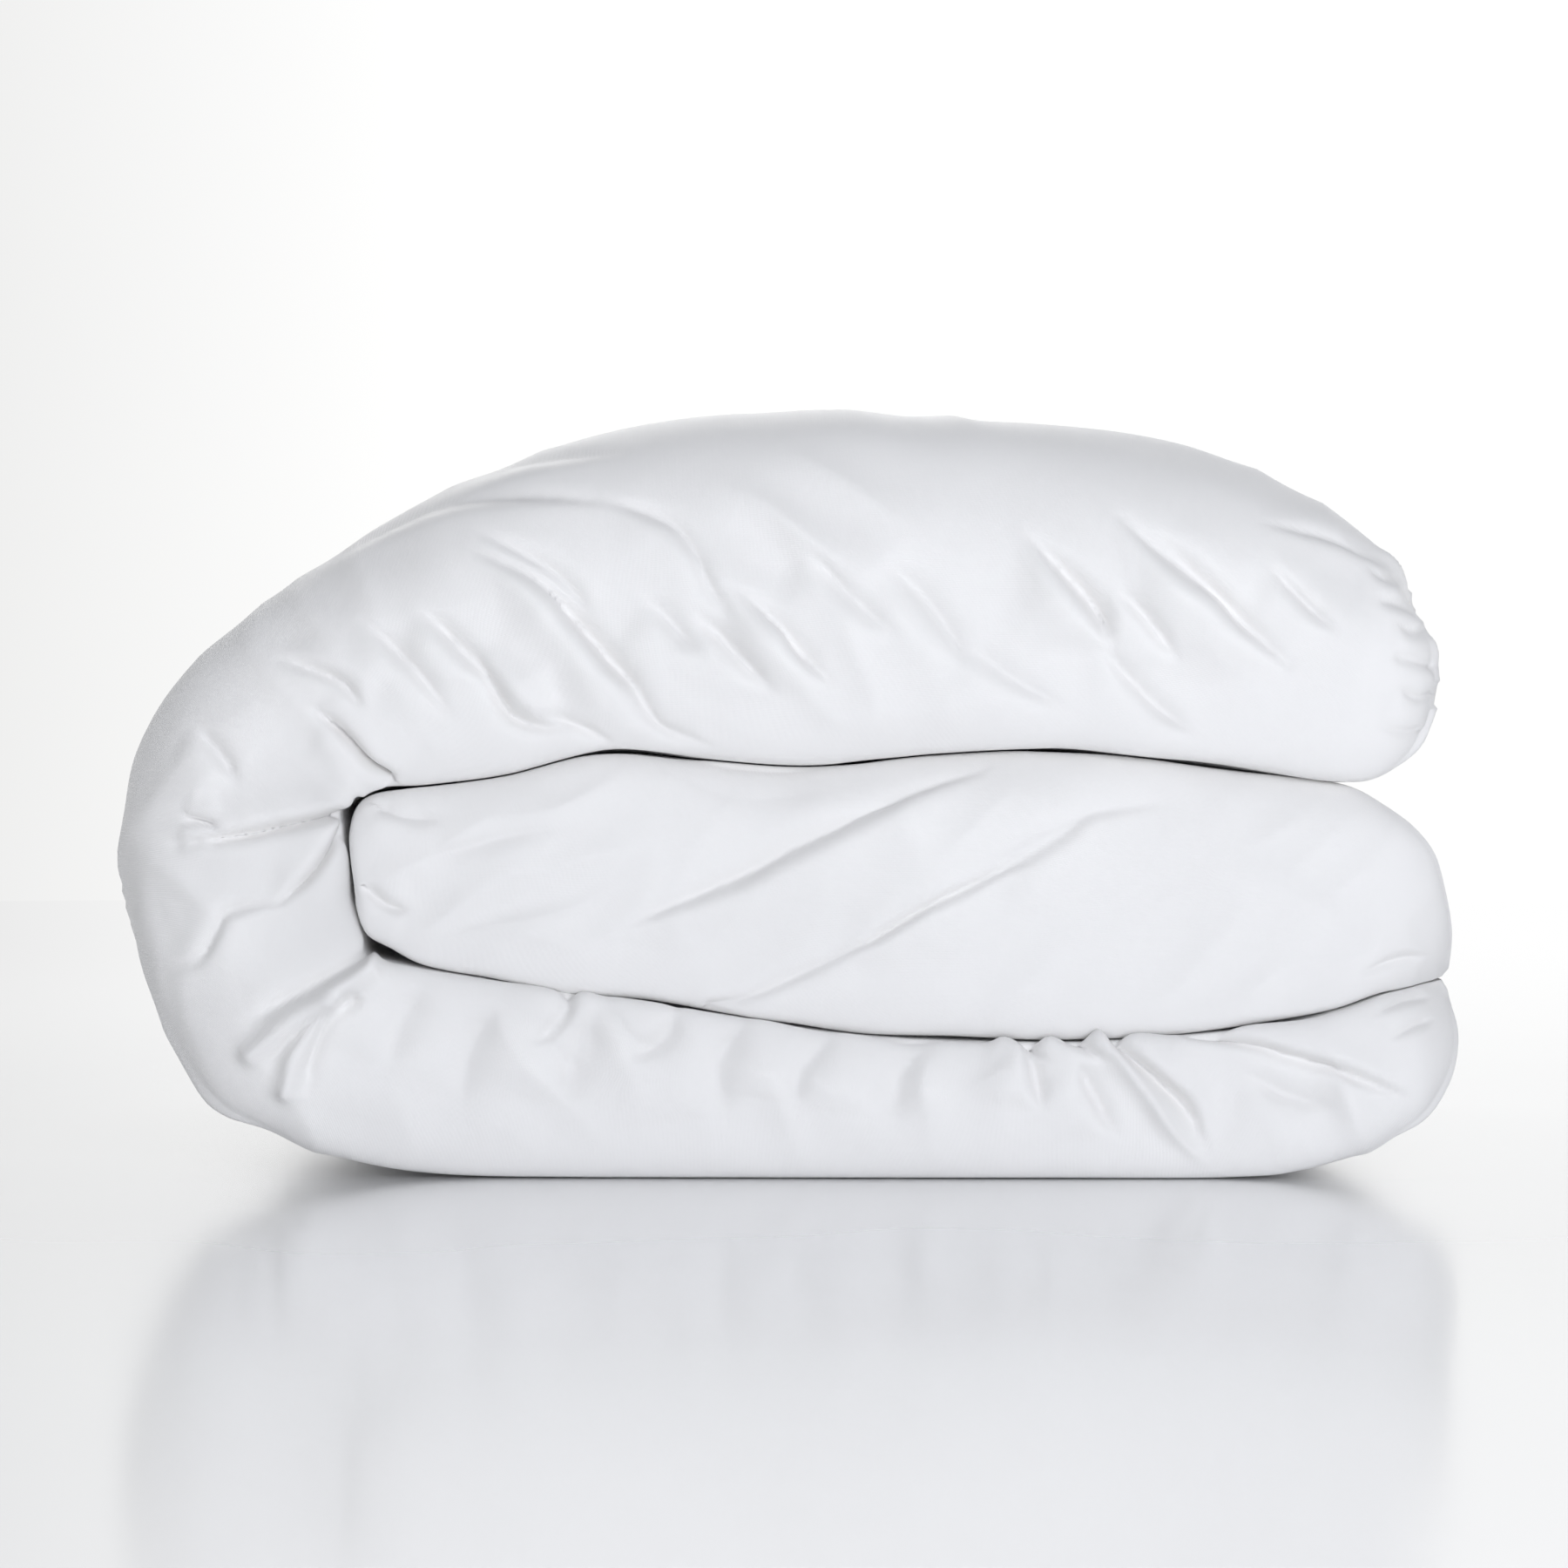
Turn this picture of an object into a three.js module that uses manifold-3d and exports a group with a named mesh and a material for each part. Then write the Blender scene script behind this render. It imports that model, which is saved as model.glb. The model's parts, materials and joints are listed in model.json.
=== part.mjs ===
// A single duvet folded in half across its width and rolled in three, lying on its base layer.
// Millimetres, +Z up, the rounded half fold faces -Y. Each layer is two plies thick.
import * as THREE from "three";
import Module from "manifold-3d";

// Driving dimensions of the folded duvet
const rollWidth = 750;
const foldedDepth = 700;
const stackHeight = 431;
const baseLoft = 86;
const middleLoft = 145;
const leftFoldHeight = 182;
const leftFoldReach = 130;
const rightFoldHeight = 100;
const rightFoldReach = 46;
const frontRounding = 60;
const footEndThickness = 54;
const footEndSetback = 17;

// Sheets, gaps and soft details
const sheet = 2;
const fitGap = 0.6;
const layerGap = 1.6;
const bodyGap = 0.5;
const frontSlack = 5;
const stitchGap = 1.5;
const stitchedShare = 0.72;
const hemDepth = 20;
const labelSize = { width: 34, height: 48, thickness: 0.8 };
const loopRadius = 4.5;
const loopCord = 0.8;
const footTieStations = 1.1;
const headTieStations = 0.25;

// Zip at the foot end
const zipLength = 565;
const zipRearMargin = 47;
const tapeWidth = 10.5;
const tapeThickness = 0.8;
const coilRadius = 1.1;
const coilSpread = 1.35;
const sliderSize = { width: 10, length: 9, wall: 1.8 };
const stopLength = 3;
const pinRadius = 0.5;
const eyeRadius = 1.6;
const eyeHeight = 3.6;
const pullSize = { length: 26, width: 5, thickness: 1 };

// Stations along the seams, shared by the layers on both sides of each
const seamSteps = 9;
const crownSteps = 4;
const headTrim = 0.12;
const endSlack = 0.01;
const stitchShare = 0.005;

const half = rollWidth / 2;
const hubX = -half + leftFoldReach;
const upperSeamZ = baseLoft + middleLoft;
const flatStart = -half + 1.2 * leftFoldReach;
const flatEnd = half - 2.56 * rightFoldReach;
const rightHubX = half - rightFoldReach;
const footX = half - footEndSetback;
const footZ = upperSeamZ + 0.21 * (stackHeight - upperSeamZ);
const crownX = 0.07 * half;
const frontY = -foldedDepth / 2;
const backY = foldedDepth / 2 - labelSize.thickness - fitGap;
const sleeveBackY = backY - hemDepth;

const wasm = await Module();
wasm.setup();

const point = (x, z) => new THREE.Vector2(x, z);
const line = (a, b) => new THREE.LineCurve(a, b);
const bend = (a, b, c, d) => new THREE.CubicBezierCurve(a, b, c, d);

// The seams where the layers lie on each other, from left to right
const lowerSeam = new THREE.SplineCurve([
  point(hubX + 12, 1.4 * baseLoft),
  point(-0.16 * half, 1.12 * baseLoft),
  point(0.32 * half, 0.9 * baseLoft),
  point(rightHubX - 32, 1.05 * baseLoft),
]);
const upperSeam = new THREE.SplineCurve([
  point(hubX + 15, upperSeamZ - 15),
  point(-0.26 * half, upperSeamZ + 7),
  point(0, upperSeamZ - 2),
  point(0.33 * half, upperSeamZ + 8),
  point(rightHubX - 4, upperSeamZ - 12),
]);
const seamStart = lowerSeam.points[0];
const seamEnd = lowerSeam.points[3];
const upperStart = upperSeam.points[0];
const upperEnd = upperSeam.points[4];

// Part of a curve as a function of 0 to 1, moved up or down by a rise
const along = (curve, from = 0, to = 1, rise = 0) => (u) => {
  const p = curve.getPointAt(THREE.MathUtils.lerp(from, to, u));
  return p.setY(p.y + rise);
};

// A layer is a list of stations, each with a point on the outer side and one on the inner side
function layer(name, mirrored, sides, stretches, trim = 0) {
  const stations = [];
  stretches.forEach(({ steps, outer, inner }, n) => {
    for (let k = n ? 1 : 0; k <= steps; k++)
      stations.push({ outer: outer(k / steps), inner: inner(k / steps) });
  });
  return { name, mirrored, sides, stations, end: stations.length - 1 - trim };
}

const crownLeft = bend(
  point(-half, leftFoldHeight + bodyGap),
  point(-half, leftFoldHeight + 0.47 * (stackHeight - leftFoldHeight)),
  point(-0.5 * half, stackHeight),
  point(crownX, stackHeight),
);
const crownRight = bend(
  point(crownX, stackHeight),
  point(0.5 * half, stackHeight),
  point(0.84 * half, stackHeight - 25),
  point(footX - 13, footZ + 1.15 * footEndThickness),
);
const topLayer = layer("top", false, ["left", "right"], [
  {
    steps: 6,
    outer: along(crownLeft, 0, 0.45),
    inner: along(line(point(hubX, leftFoldHeight + bodyGap), upperStart)),
  },
  {
    steps: crownSteps,
    outer: along(crownLeft, 0.45, 1),
    inner: along(upperSeam, 0, crownSteps / seamSteps),
  },
  {
    steps: seamSteps - crownSteps,
    outer: along(crownRight),
    inner: along(upperSeam, crownSteps / seamSteps, 1),
  },
  {
    steps: 2,
    outer: along(
      line(crownRight.v3, point(footX, footZ + footEndThickness / 2)),
    ),
    inner: along(line(upperEnd, point(footX, footZ - footEndThickness / 2))),
  },
]);
const baseLayer = layer("base", true, ["left", "right"], [
  {
    steps: 6,
    outer: along(
      bend(
        point(-half, leftFoldHeight - bodyGap),
        point(-half, 0.33 * leftFoldHeight),
        point(flatStart - 0.57 * (flatStart + half), 0),
        point(flatStart, 0),
      ),
    ),
    inner: along(line(point(hubX, leftFoldHeight - bodyGap), seamStart)),
  },
  {
    steps: seamSteps,
    outer: along(line(point(flatStart, 0), point(flatEnd, 0))),
    inner: along(lowerSeam),
  },
  {
    steps: 4,
    outer: along(
      bend(
        point(flatEnd, 0),
        point(flatEnd + 0.6 * (half - flatEnd), 0),
        point(half, 0.4 * rightFoldHeight),
        point(half, rightFoldHeight - bodyGap),
      ),
    ),
    inner: along(line(seamEnd, point(rightHubX, rightFoldHeight - bodyGap))),
  },
]);
const middleLayer = layer("middle", true, ["right", "left"], [
  {
    steps: 4,
    outer: along(
      bend(
        point(half, rightFoldHeight + bodyGap),
        point(half, rightFoldHeight + 0.5 * middleLoft),
        point(half - 0.5 * rightFoldReach, upperEnd.y - 0.15 * middleLoft),
        point(upperEnd.x, upperEnd.y - layerGap),
      ),
    ),
    inner: along(
      line(
        point(rightHubX, rightFoldHeight + bodyGap),
        point(seamEnd.x, seamEnd.y + layerGap),
      ),
    ),
  },
  {
    steps: seamSteps,
    outer: along(upperSeam, 1, 0, -layerGap),
    inner: along(lowerSeam, 1, 0, layerGap),
  },
], headTrim);

// The outer and inner points at a station, straight between whole stations
function sectionAt({ stations }, station) {
  const before = Math.min(Math.floor(station), stations.length - 2);
  const share = station - before;
  const outer = stations[before].outer
    .clone()
    .lerp(stations[before + 1].outer, share);
  const inner = stations[before].inner
    .clone()
    .lerp(stations[before + 1].inner, share);
  return { outer, inner, loft: outer.distanceTo(inner) };
}

// A point of a layer at a height above its inner side and a depth along Y
function layerPoint(section, height, y) {
  const p = section.inner.clone().lerp(section.outer, height / section.loft);
  return new THREE.Vector3(p.x, y, p.y);
}

// The rounded front of the half fold at a height, set in by an inset
function frontAt(section, height, inset) {
  const reach = (2 * height - section.loft) / (section.loft - 2 * inset);
  const cosine = THREE.MathUtils.clamp(reach, -1, 1);
  return frontY + inset + frontRounding * (1 - Math.sqrt(1 - cosine ** 2));
}

// The fractional station halfway along a layer's middle line, where its cross stitching runs
function middleStation({ stations }) {
  const middle = stations.map((s) => s.outer.clone().lerp(s.inner, 0.5));
  const lengths = middle.slice(1).map((p, k) => p.distanceTo(middle[k]));
  let left = lengths.reduce((sum, length) => sum + length, 0) / 2;
  const before = lengths.findIndex((length) => (left -= length) < 0);
  return before + 1 + left / lengths[before];
}

// A closed soft solid: a box grid whose points are moved to shape(u, v, w)
function softBlock(steps, shape) {
  const geometry = new THREE.BoxGeometry(1, 1, 1, ...steps);
  const places = geometry.getAttribute("position");
  for (let k = 0; k < places.count; k++) {
    const p = shape(
      places.getX(k) + 0.5,
      places.getY(k) + 0.5,
      places.getZ(k) + 0.5,
    );
    places.setXYZ(k, p.x, p.y, p.z);
  }
  geometry.deleteAttribute("uv");
  geometry.computeVertexNormals();
  return geometry;
}

// A soft solid that follows a layer from one station to another, with a grid line at each
// whole station between them
function alongLayer(of, from, to, steps, shape) {
  const stops = [from];
  for (let k = Math.floor(from) + 1; k < to; k++) stops.push(k);
  stops.push(to);
  if (of.mirrored) stops.reverse();
  const count = stops.length - 1;
  return softBlock([count, ...steps], (u, v, w) =>
    shape(sectionAt(of, stops[Math.round(u * count)]), v, w, u),
  );
}

// The outside sheet of the cover: over the inner side, round the half fold and back over the
// outer side
function coverFace(of) {
  const foldSteps = 8;
  return alongLayer(of, 0, of.end, [foldSteps + 2, 1], (section, v, w) => {
    const inset = sheet * (1 - w);
    const turn = THREE.MathUtils.clamp(
      (v * (foldSteps + 2) - 1) / foldSteps,
      0,
      1,
    );
    const height =
      inset +
      ((section.loft - 2 * inset) * (1 - Math.cos(Math.PI * turn))) / 2;
    const flat = v < 1e-6 || v > 1 - 1e-6;
    const y = flat ? sleeveBackY : frontAt(section, height, inset);
    return layerPoint(section, height, y);
  });
}

// The underside sheet of the cover, doubled between the two plies
function coverLining(of) {
  return alongLayer(of, 0, of.end, [1, 1], (section, v, w) => {
    const height = section.loft / 2 + (w - 0.5) * 2 * sheet;
    const y = THREE.MathUtils.lerp(
      frontY + frontRounding,
      sleeveBackY - fitGap,
      v,
    );
    return layerPoint(section, height, y);
  });
}

// The heights of a ply inside the cover, the inner ply first
function plyHeights(section, ply) {
  const low = sheet + fitGap;
  const middle = section.loft / 2;
  return ply === "inner"
    ? [low, middle - sheet - fitGap]
    : [middle + sheet + fitGap, section.loft - low];
}

// One stitched pocket of shell cloth and fill, full in the middle and drawn in at its stitching
function fillPocket(of, ply, column, from, to) {
  const joint = stitchGap / 2;
  return alongLayer(of, from, to, [2, 2], (section, v, w, u) => {
    const [low, high] = plyHeights(section, ply);
    const crown =
      stitchedShare +
      (1 - stitchedShare) * Math.sin(Math.PI * u) * Math.sin(Math.PI * v);
    const height = (low + high) / 2 + (w - 0.5) * (high - low) * crown;
    const front =
      column === "front" ? frontAt(section, height, sheet + frontSlack) : joint;
    const rear = column === "front" ? -joint : sleeveBackY - fitGap;
    return layerPoint(section, height, THREE.MathUtils.lerp(front, rear, v));
  });
}

// The rounded hem that closes the back of one ply
function sideHem(of, ply) {
  return alongLayer(of, 0, of.end, [1, 4], (section, v, w) => {
    const start = ply === "inner" ? 0 : section.loft / 2 + fitGap / 2;
    const height = start + w * (section.loft / 2 - fitGap / 2);
    const bulge = (hemDepth - sheet - fitGap) * Math.sin(Math.PI * w);
    return layerPoint(section, height, sleeveBackY + fitGap + bulge + v * sheet);
  });
}

// The hem that closes the end of a layer, beyond its last station
function endHem(of, outward) {
  const section = sectionAt(of, of.end);
  const [near, far] = [bodyGap, bodyGap + sheet].map((x) => x * outward);
  const order = outward > 0 ? [near, far] : [far, near];
  return softBlock([1, 1, 12], (u, v, w) => {
    const height = (section.loft * (1 - Math.cos(Math.PI * w))) / 2;
    const front = frontAt(section, height, 0);
    const y = THREE.MathUtils.lerp(front, sleeveBackY, v);
    return layerPoint(section, height, y).setX(
      layerPoint(section, height, y).x + order[Math.round(u)],
    );
  });
}

const materials = {
  cover: { color: 0xeeeff0, roughness: 0.75, metalness: 0 },
  lining: { color: 0xe8e8e6, roughness: 0.85, metalness: 0 },
  fill: { color: 0xf2f1ed, roughness: 0.95, metalness: 0 },
  tape: { color: 0xe9e9ea, roughness: 0.8, metalness: 0 },
  coil: { color: 0xf0f0f0, roughness: 0.45, metalness: 0 },
  metal: { color: 0xc9cacc, roughness: 0.35, metalness: 0.9 },
};

const duvet = new THREE.Group();
duvet.name = "folded_duvet";

function add(name, kind, geometry, parent = duvet) {
  const material = new THREE.MeshStandardMaterial(materials[kind]);
  const mesh = new THREE.Mesh(geometry, material);
  mesh.name = name;
  parent.add(mesh);
  return mesh;
}

// Cover, hems and fill of each layer
for (const of of [baseLayer, middleLayer, topLayer]) {
  add(`cover_face_${of.name}`, "cover", coverFace(of));
  add(`cover_lining_${of.name}`, "lining", coverLining(of));
  const middle = middleStation(of);
  const halves = [
    [endSlack, middle - stitchShare],
    [middle + stitchShare, of.end],
  ];
  for (const ply of ["outer", "inner"]) {
    add(`side_hem_${of.name}_${ply}`, "cover", sideHem(of, ply));
    for (const column of ["front", "rear"])
      halves.forEach(([from, to], n) => {
        const name = `fill_${of.name}_${ply}_${column}_${of.sides[n]}`;
        add(name, "fill", fillPocket(of, ply, column, from, to));
      });
  }
}
add("cover_foot_hem", "cover", endHem(topLayer, 1));
add("cover_head_hem", "cover", endHem(middleLayer, -1));

// A corner loop of the duvet and the cover tie through it, in the hollow of a side hem
function cornerTie(of, ply, end, stationsIn, inward) {
  const section = sectionAt(of, of.end - stationsIn);
  const [low, high] = plyHeights(section, ply);
  const hollowY = sleeveBackY + hemDepth / 2 - sheet;
  const corner = layerPoint(section, (low + high) / 2, hollowY);
  const ring = () => new THREE.TorusGeometry(loopRadius, loopCord, 5, 12);
  const loop = add(`corner_loop_${end}_${ply}`, "tape", ring());
  loop.position.copy(corner);
  const tie = add(`corner_tie_${end}_${ply}`, "tape", ring());
  tie.position.copy(loop.position).setX(loop.position.x + inward * loopRadius);
  tie.rotation.x = Math.PI / 2;
}
for (const ply of ["outer", "inner"]) {
  cornerTie(topLayer, ply, "foot", footTieStations, -1);
  cornerTie(middleLayer, ply, "head", headTieStations, 1);
}

// Blank care label that hangs at the back of the top layer
const label = add(
  "care_label",
  "tape",
  new THREE.BoxGeometry(labelSize.width, labelSize.thickness, labelSize.height),
);
label.position.set(
  -0.12 * half,
  foldedDepth / 2 - labelSize.thickness / 2,
  upperSeamZ + labelSize.height / 2 + 5,
);

// Zip along the outer ply of the foot end
const zipX = footX + bodyGap + sheet + fitGap;
const zipZ = footZ + footEndThickness / 4;
const zipRear = foldedDepth / 2 - zipRearMargin;
const zipMiddleY = zipRear - zipLength / 2;
const coilX = zipX + tapeThickness + fitGap / 2 + coilRadius;
for (const [side, name] of [
  [1, "upper"],
  [-1, "lower"],
]) {
  const tape = add(
    `zip_tape_${name}`,
    "tape",
    new THREE.BoxGeometry(tapeThickness, zipLength + 2 * stopLength, tapeWidth),
  );
  tape.position.set(
    zipX + tapeThickness / 2,
    zipMiddleY,
    zipZ + side * (tapeWidth / 2 + fitGap / 2),
  );
  const coil = add(
    `zip_coil_${name}`,
    "coil",
    new THREE.CylinderGeometry(coilRadius, coilRadius, zipLength, 10),
  );
  coil.position.set(coilX, zipMiddleY, zipZ + side * coilSpread);
}
const stopShape = () =>
  new THREE.BoxGeometry(2 * coilRadius, stopLength, 2 * (coilSpread + coilRadius));
const stopOffset = zipLength / 2 + stopLength / 2 + fitGap;
add("zip_top_stop", "metal", stopShape()).position.set(coilX, zipMiddleY + stopOffset, zipZ);
add("zip_bottom_stop", "metal", stopShape()).position.set(
  coilX,
  zipMiddleY - stopOffset,
  zipZ,
);

// manifold-3d joins closed three.js geometries into one closed solid
function joined(geometries) {
  const solids = geometries.map((geometry) => {
    const merged = geometry.index ? geometry.toNonIndexed() : geometry;
    const mesh = new wasm.Mesh({
      numProp: 3,
      vertProperties: merged.getAttribute("position").array,
      triVerts: Uint32Array.from({ length: merged.getAttribute("position").count }, (_, k) => k),
    });
    mesh.merge();
    return new wasm.Manifold(mesh);
  });
  const { numProp, vertProperties, triVerts } = wasm.Manifold.union(solids).getMesh();
  const geometry = new THREE.BufferGeometry();
  geometry.setAttribute("position", new THREE.BufferAttribute(vertProperties, numProp));
  geometry.setIndex(new THREE.BufferAttribute(triVerts, 1));
  geometry.computeVertexNormals();
  return geometry;
}

// The slider is a channel over both coils with a raised pin for the pull tab, and is drawn in
// its own frame: X across the tape, Z out of the cover, Y along the zip
const channelDepth = 2 * coilRadius + fitGap;
const pinZ = channelDepth + sliderSize.wall + fitGap + eyeRadius;
function sliderGeometry() {
  const { width, length, wall } = sliderSize;
  const channel = new THREE.Shape();
  channel.moveTo(-width / 2, 0);
  channel.lineTo(-width / 2 + wall, 0);
  channel.lineTo(-width / 2 + wall, channelDepth);
  channel.lineTo(width / 2 - wall, channelDepth);
  channel.lineTo(width / 2 - wall, 0);
  channel.lineTo(width / 2, 0);
  channel.lineTo(width / 2, channelDepth + wall);
  channel.lineTo(-width / 2, channelDepth + wall);
  const body = new THREE.ExtrudeGeometry(channel, { depth: length, bevelEnabled: false });
  body.rotateX(Math.PI / 2).translate(0, length / 2, 0);
  const pinLength = eyeHeight + 2 * fitGap + 2 * wall;
  const pin = new THREE.CylinderGeometry(pinRadius, pinRadius, pinLength, 12);
  pin.rotateZ(Math.PI / 2).translate(0, 0, pinZ);
  const postHeight = pinZ + pinRadius - channelDepth - wall / 2;
  const posts = [-1, 1].map((side) =>
    new THREE.BoxGeometry(wall, 2 * eyeRadius, postHeight).translate(
      (side * (pinLength - wall)) / 2,
      0,
      pinZ + pinRadius - postHeight / 2,
    ),
  );
  return joined([body, pin, ...posts]);
}

function pullTabGeometry() {
  const eye = new THREE.Shape();
  eye.absarc(0, 0, eyeRadius, 0, 2 * Math.PI);
  const hole = new THREE.Path();
  hole.absarc(0, 0, pinRadius + fitGap / 2, 0, 2 * Math.PI, true);
  eye.holes.push(hole);
  const barrel = new THREE.ExtrudeGeometry(eye, {
    depth: eyeHeight,
    bevelEnabled: false,
    curveSegments: 8,
  });
  barrel.translate(0, 0, -eyeHeight / 2).rotateY(Math.PI / 2);
  const { length, width, thickness } = pullSize;
  const start = eyeRadius - thickness / 2;
  const outline = new THREE.Shape();
  outline.moveTo(-eyeHeight / 2, start);
  outline.lineTo(eyeHeight / 2, start);
  outline.lineTo(width / 2, length - width / 2);
  outline.absarc(0, length - width / 2, width / 2, 0, Math.PI);
  const plate = new THREE.ExtrudeGeometry(outline, {
    depth: thickness,
    bevelEnabled: false,
    curveSegments: 8,
  });
  plate.translate(0, 0, -thickness / 2);
  return joined([barrel, plate]);
}

// The slider's frame stands on the tapes, turned so that its own Z points out of the foot end
const sliderFrame = new THREE.Group();
sliderFrame.position.set(
  zipX + tapeThickness + fitGap / 2,
  zipRear - sliderSize.length / 2 - fitGap,
  zipZ,
);
sliderFrame.rotation.y = Math.PI / 2;
duvet.add(sliderFrame);
add("zip_slider", "metal", sliderGeometry(), sliderFrame);
add("zip_pull_tab", "metal", pullTabGeometry(), sliderFrame).position.z = pinZ;

export default duvet;
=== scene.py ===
"""Looks for a folded duvet: a thick filled duvet in a plain white sateen cover, folded in half
front to back and rolled in three. Lengths are in metres, in the frame of the CAD model."""

import json
import math

import bmesh
import bpy
import numpy as np
from bpy.props import FloatProperty, FloatVectorProperty, PointerProperty
from mathutils import Matrix, Vector

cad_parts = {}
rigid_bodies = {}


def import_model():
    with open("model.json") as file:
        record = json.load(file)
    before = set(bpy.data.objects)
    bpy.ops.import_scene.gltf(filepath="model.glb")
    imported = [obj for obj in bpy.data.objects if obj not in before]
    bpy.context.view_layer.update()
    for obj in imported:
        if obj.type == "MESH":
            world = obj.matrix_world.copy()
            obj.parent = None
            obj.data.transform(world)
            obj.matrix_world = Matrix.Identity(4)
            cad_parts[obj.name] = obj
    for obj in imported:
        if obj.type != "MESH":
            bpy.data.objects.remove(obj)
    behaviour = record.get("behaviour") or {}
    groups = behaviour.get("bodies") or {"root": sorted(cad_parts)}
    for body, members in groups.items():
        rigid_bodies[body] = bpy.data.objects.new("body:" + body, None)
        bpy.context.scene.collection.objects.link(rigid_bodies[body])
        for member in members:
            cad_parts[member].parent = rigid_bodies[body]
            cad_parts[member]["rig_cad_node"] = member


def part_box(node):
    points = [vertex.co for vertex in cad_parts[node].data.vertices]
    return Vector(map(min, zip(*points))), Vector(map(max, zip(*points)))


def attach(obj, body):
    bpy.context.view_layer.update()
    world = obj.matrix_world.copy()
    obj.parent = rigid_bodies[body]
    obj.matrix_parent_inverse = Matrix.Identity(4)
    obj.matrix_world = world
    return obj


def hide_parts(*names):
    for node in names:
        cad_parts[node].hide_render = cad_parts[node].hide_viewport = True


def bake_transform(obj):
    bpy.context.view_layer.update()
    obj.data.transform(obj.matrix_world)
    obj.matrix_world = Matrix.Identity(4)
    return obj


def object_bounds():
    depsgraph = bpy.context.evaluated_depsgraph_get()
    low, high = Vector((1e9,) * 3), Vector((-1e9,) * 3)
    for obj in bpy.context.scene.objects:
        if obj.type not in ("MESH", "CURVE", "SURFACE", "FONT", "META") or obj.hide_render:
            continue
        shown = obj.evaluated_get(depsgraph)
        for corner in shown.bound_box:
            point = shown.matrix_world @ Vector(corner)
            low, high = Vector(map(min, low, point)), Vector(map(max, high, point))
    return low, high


bl_info = {
    "name": "Folded Duvet",
    "version": (1, 0, 0),
    "blender": (4, 5, 0),
    "location": "View3D > Sidebar > Duvet",
    "description": "Builds the cover, fill and zip of a folded duvet round its CAD frame",
    "category": "Object",
}

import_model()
cad_low, cad_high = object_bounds()

# Outlines are drawn in millimetres for a roll of this half width and height, and follow the frame
DRAWN_HALF = 375
DRAWN_HEIGHT = 431
SCALE = np.array([cad_high.x / DRAWN_HALF, cad_high.z / DRAWN_HEIGHT])
FRONT_Y = cad_low.y
BACK_Y = cad_high.y

# ---------------------------------------------------------------- outlines


def curve_through(points):
    """A smooth curve through points, as a function of a station from 0 to their number less 1."""
    controls = np.array(points, float)
    ends = 2 * controls[[0, -1]] - controls[[1, -2]]
    control = np.vstack([ends[:1], controls, ends[1:]])

    def at(station):
        station = np.clip(np.asarray(station, float), 0, len(controls) - 1)
        first = np.minimum(station.astype(int), len(controls) - 2)
        t = (station - first)[..., None]
        a, b, c, d = (control[first + k] for k in range(4))
        squared = (2 * a - 5 * b + 4 * c - d) * t**2
        cubed = (3 * b - a - 3 * c + d) * t**3
        return 0.5 * (2 * b + (c - a) * t + squared + cubed)

    return at


def seam_height(points):
    """The height of a seam between two layers, as a function of the place across the roll."""
    line = curve_through(points)(np.linspace(0, len(points) - 1, 40 * len(points)))
    return lambda x: np.interp(x, line[:, 0], line[:, 1])


LOWER_SEAM = seam_height(
    [(-240, 124), (-209, 119), (-169, 112), (-129, 103), (-89, 100), (-50, 95), (-15, 88), (40, 80)]
    + [(99, 78), (149, 76), (204, 78), (263, 85), (298, 91), (328, 101), (372, 110)]
)
UPPER_SEAM = seam_height(
    [(-240, 212), (-228, 216), (-189, 219), (-144, 226), (-99, 237), (-50, 233), (0, 229), (50, 231)]
    + [(99, 237), (149, 238), (199, 234), (248, 228), (298, 221), (345, 216)]
)
SEAM_GAP = 0.8

# Where the roll's inner end lies across it, and which of its stations is the left bend
HUB_X = -240
LEFT_STATION = 16


def roll_stations():
    """Outer and inner points along the base, round the left fold and along the top."""
    base = [(375, 103, 371), (375, 72, 352), (362, 46, 332), (336, 21, 308), (292, 5, 274), (240, 0, 228)]
    base += [(150, 0, 149), (60, 0, 50), (-30, 0, -30), (-110, 0, -105), (-180, 1, -165), (-226, 6, -206)]
    fold = [((-270, 18), (-231, 124)), ((-308, 39), (-234, 136)), ((-341, 76), (-237, 147))]
    fold += [((-365, 128), (-240, 157)), ((-375, 182), (-241, 168)), ((-369, 226), (-243, 181))]
    fold += [((-351, 266), (-245, 194)), ((-319, 302), (-245, 207))]
    top = [(-275, 335, -226), (-225, 366, -198), (-170, 393, -155), (-110, 413, -100), (-45, 426, -45)]
    top += [(30, 431, 15), (110, 428, 85), (180, 419, 150), (250, 399, 215), (303, 377, 268), (335, 355, 308)]
    nose = [((351, 327), (331, 223)), ((359, 300), (348, 240)), ((361, 278), (358, 262))]
    under = [((x, z), (inner, LOWER_SEAM(inner) - SEAM_GAP / 2)) for x, z, inner in base]
    over = [((x, z), (inner, UPPER_SEAM(inner) + SEAM_GAP / 2)) for x, z, inner in top]
    return under + fold + over + nose


def middle_stations():
    """Outer and inner points of the middle layer, from the right fold to the head end."""
    fold = [((375, 115), 371), ((372, 146), 350), ((364, 174), 330), ((352, 192), 308), ((335, 207), 284)]
    seams = [(312, 252), (268, 206), (215, 150), (150, 95), (85, 40), (15, -20), (-45, -75), (-100, -120)]
    seams += [(-155, -165), (-197, -200)]
    head = [((-226, 214), (-220, 129)), ((-237, 207), (-231, 136)), ((-241, 193), (-236, 150))]
    head += [((-240, 178), (-238, 165))]
    between = [((a, UPPER_SEAM(a) - SEAM_GAP / 2), (b, LOWER_SEAM(b) + SEAM_GAP / 2)) for a, b in seams]
    return [(outer, (b, LOWER_SEAM(b) + SEAM_GAP / 2)) for outer, b in fold] + between + head


# ---------------------------------------------------------------- meshes


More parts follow.
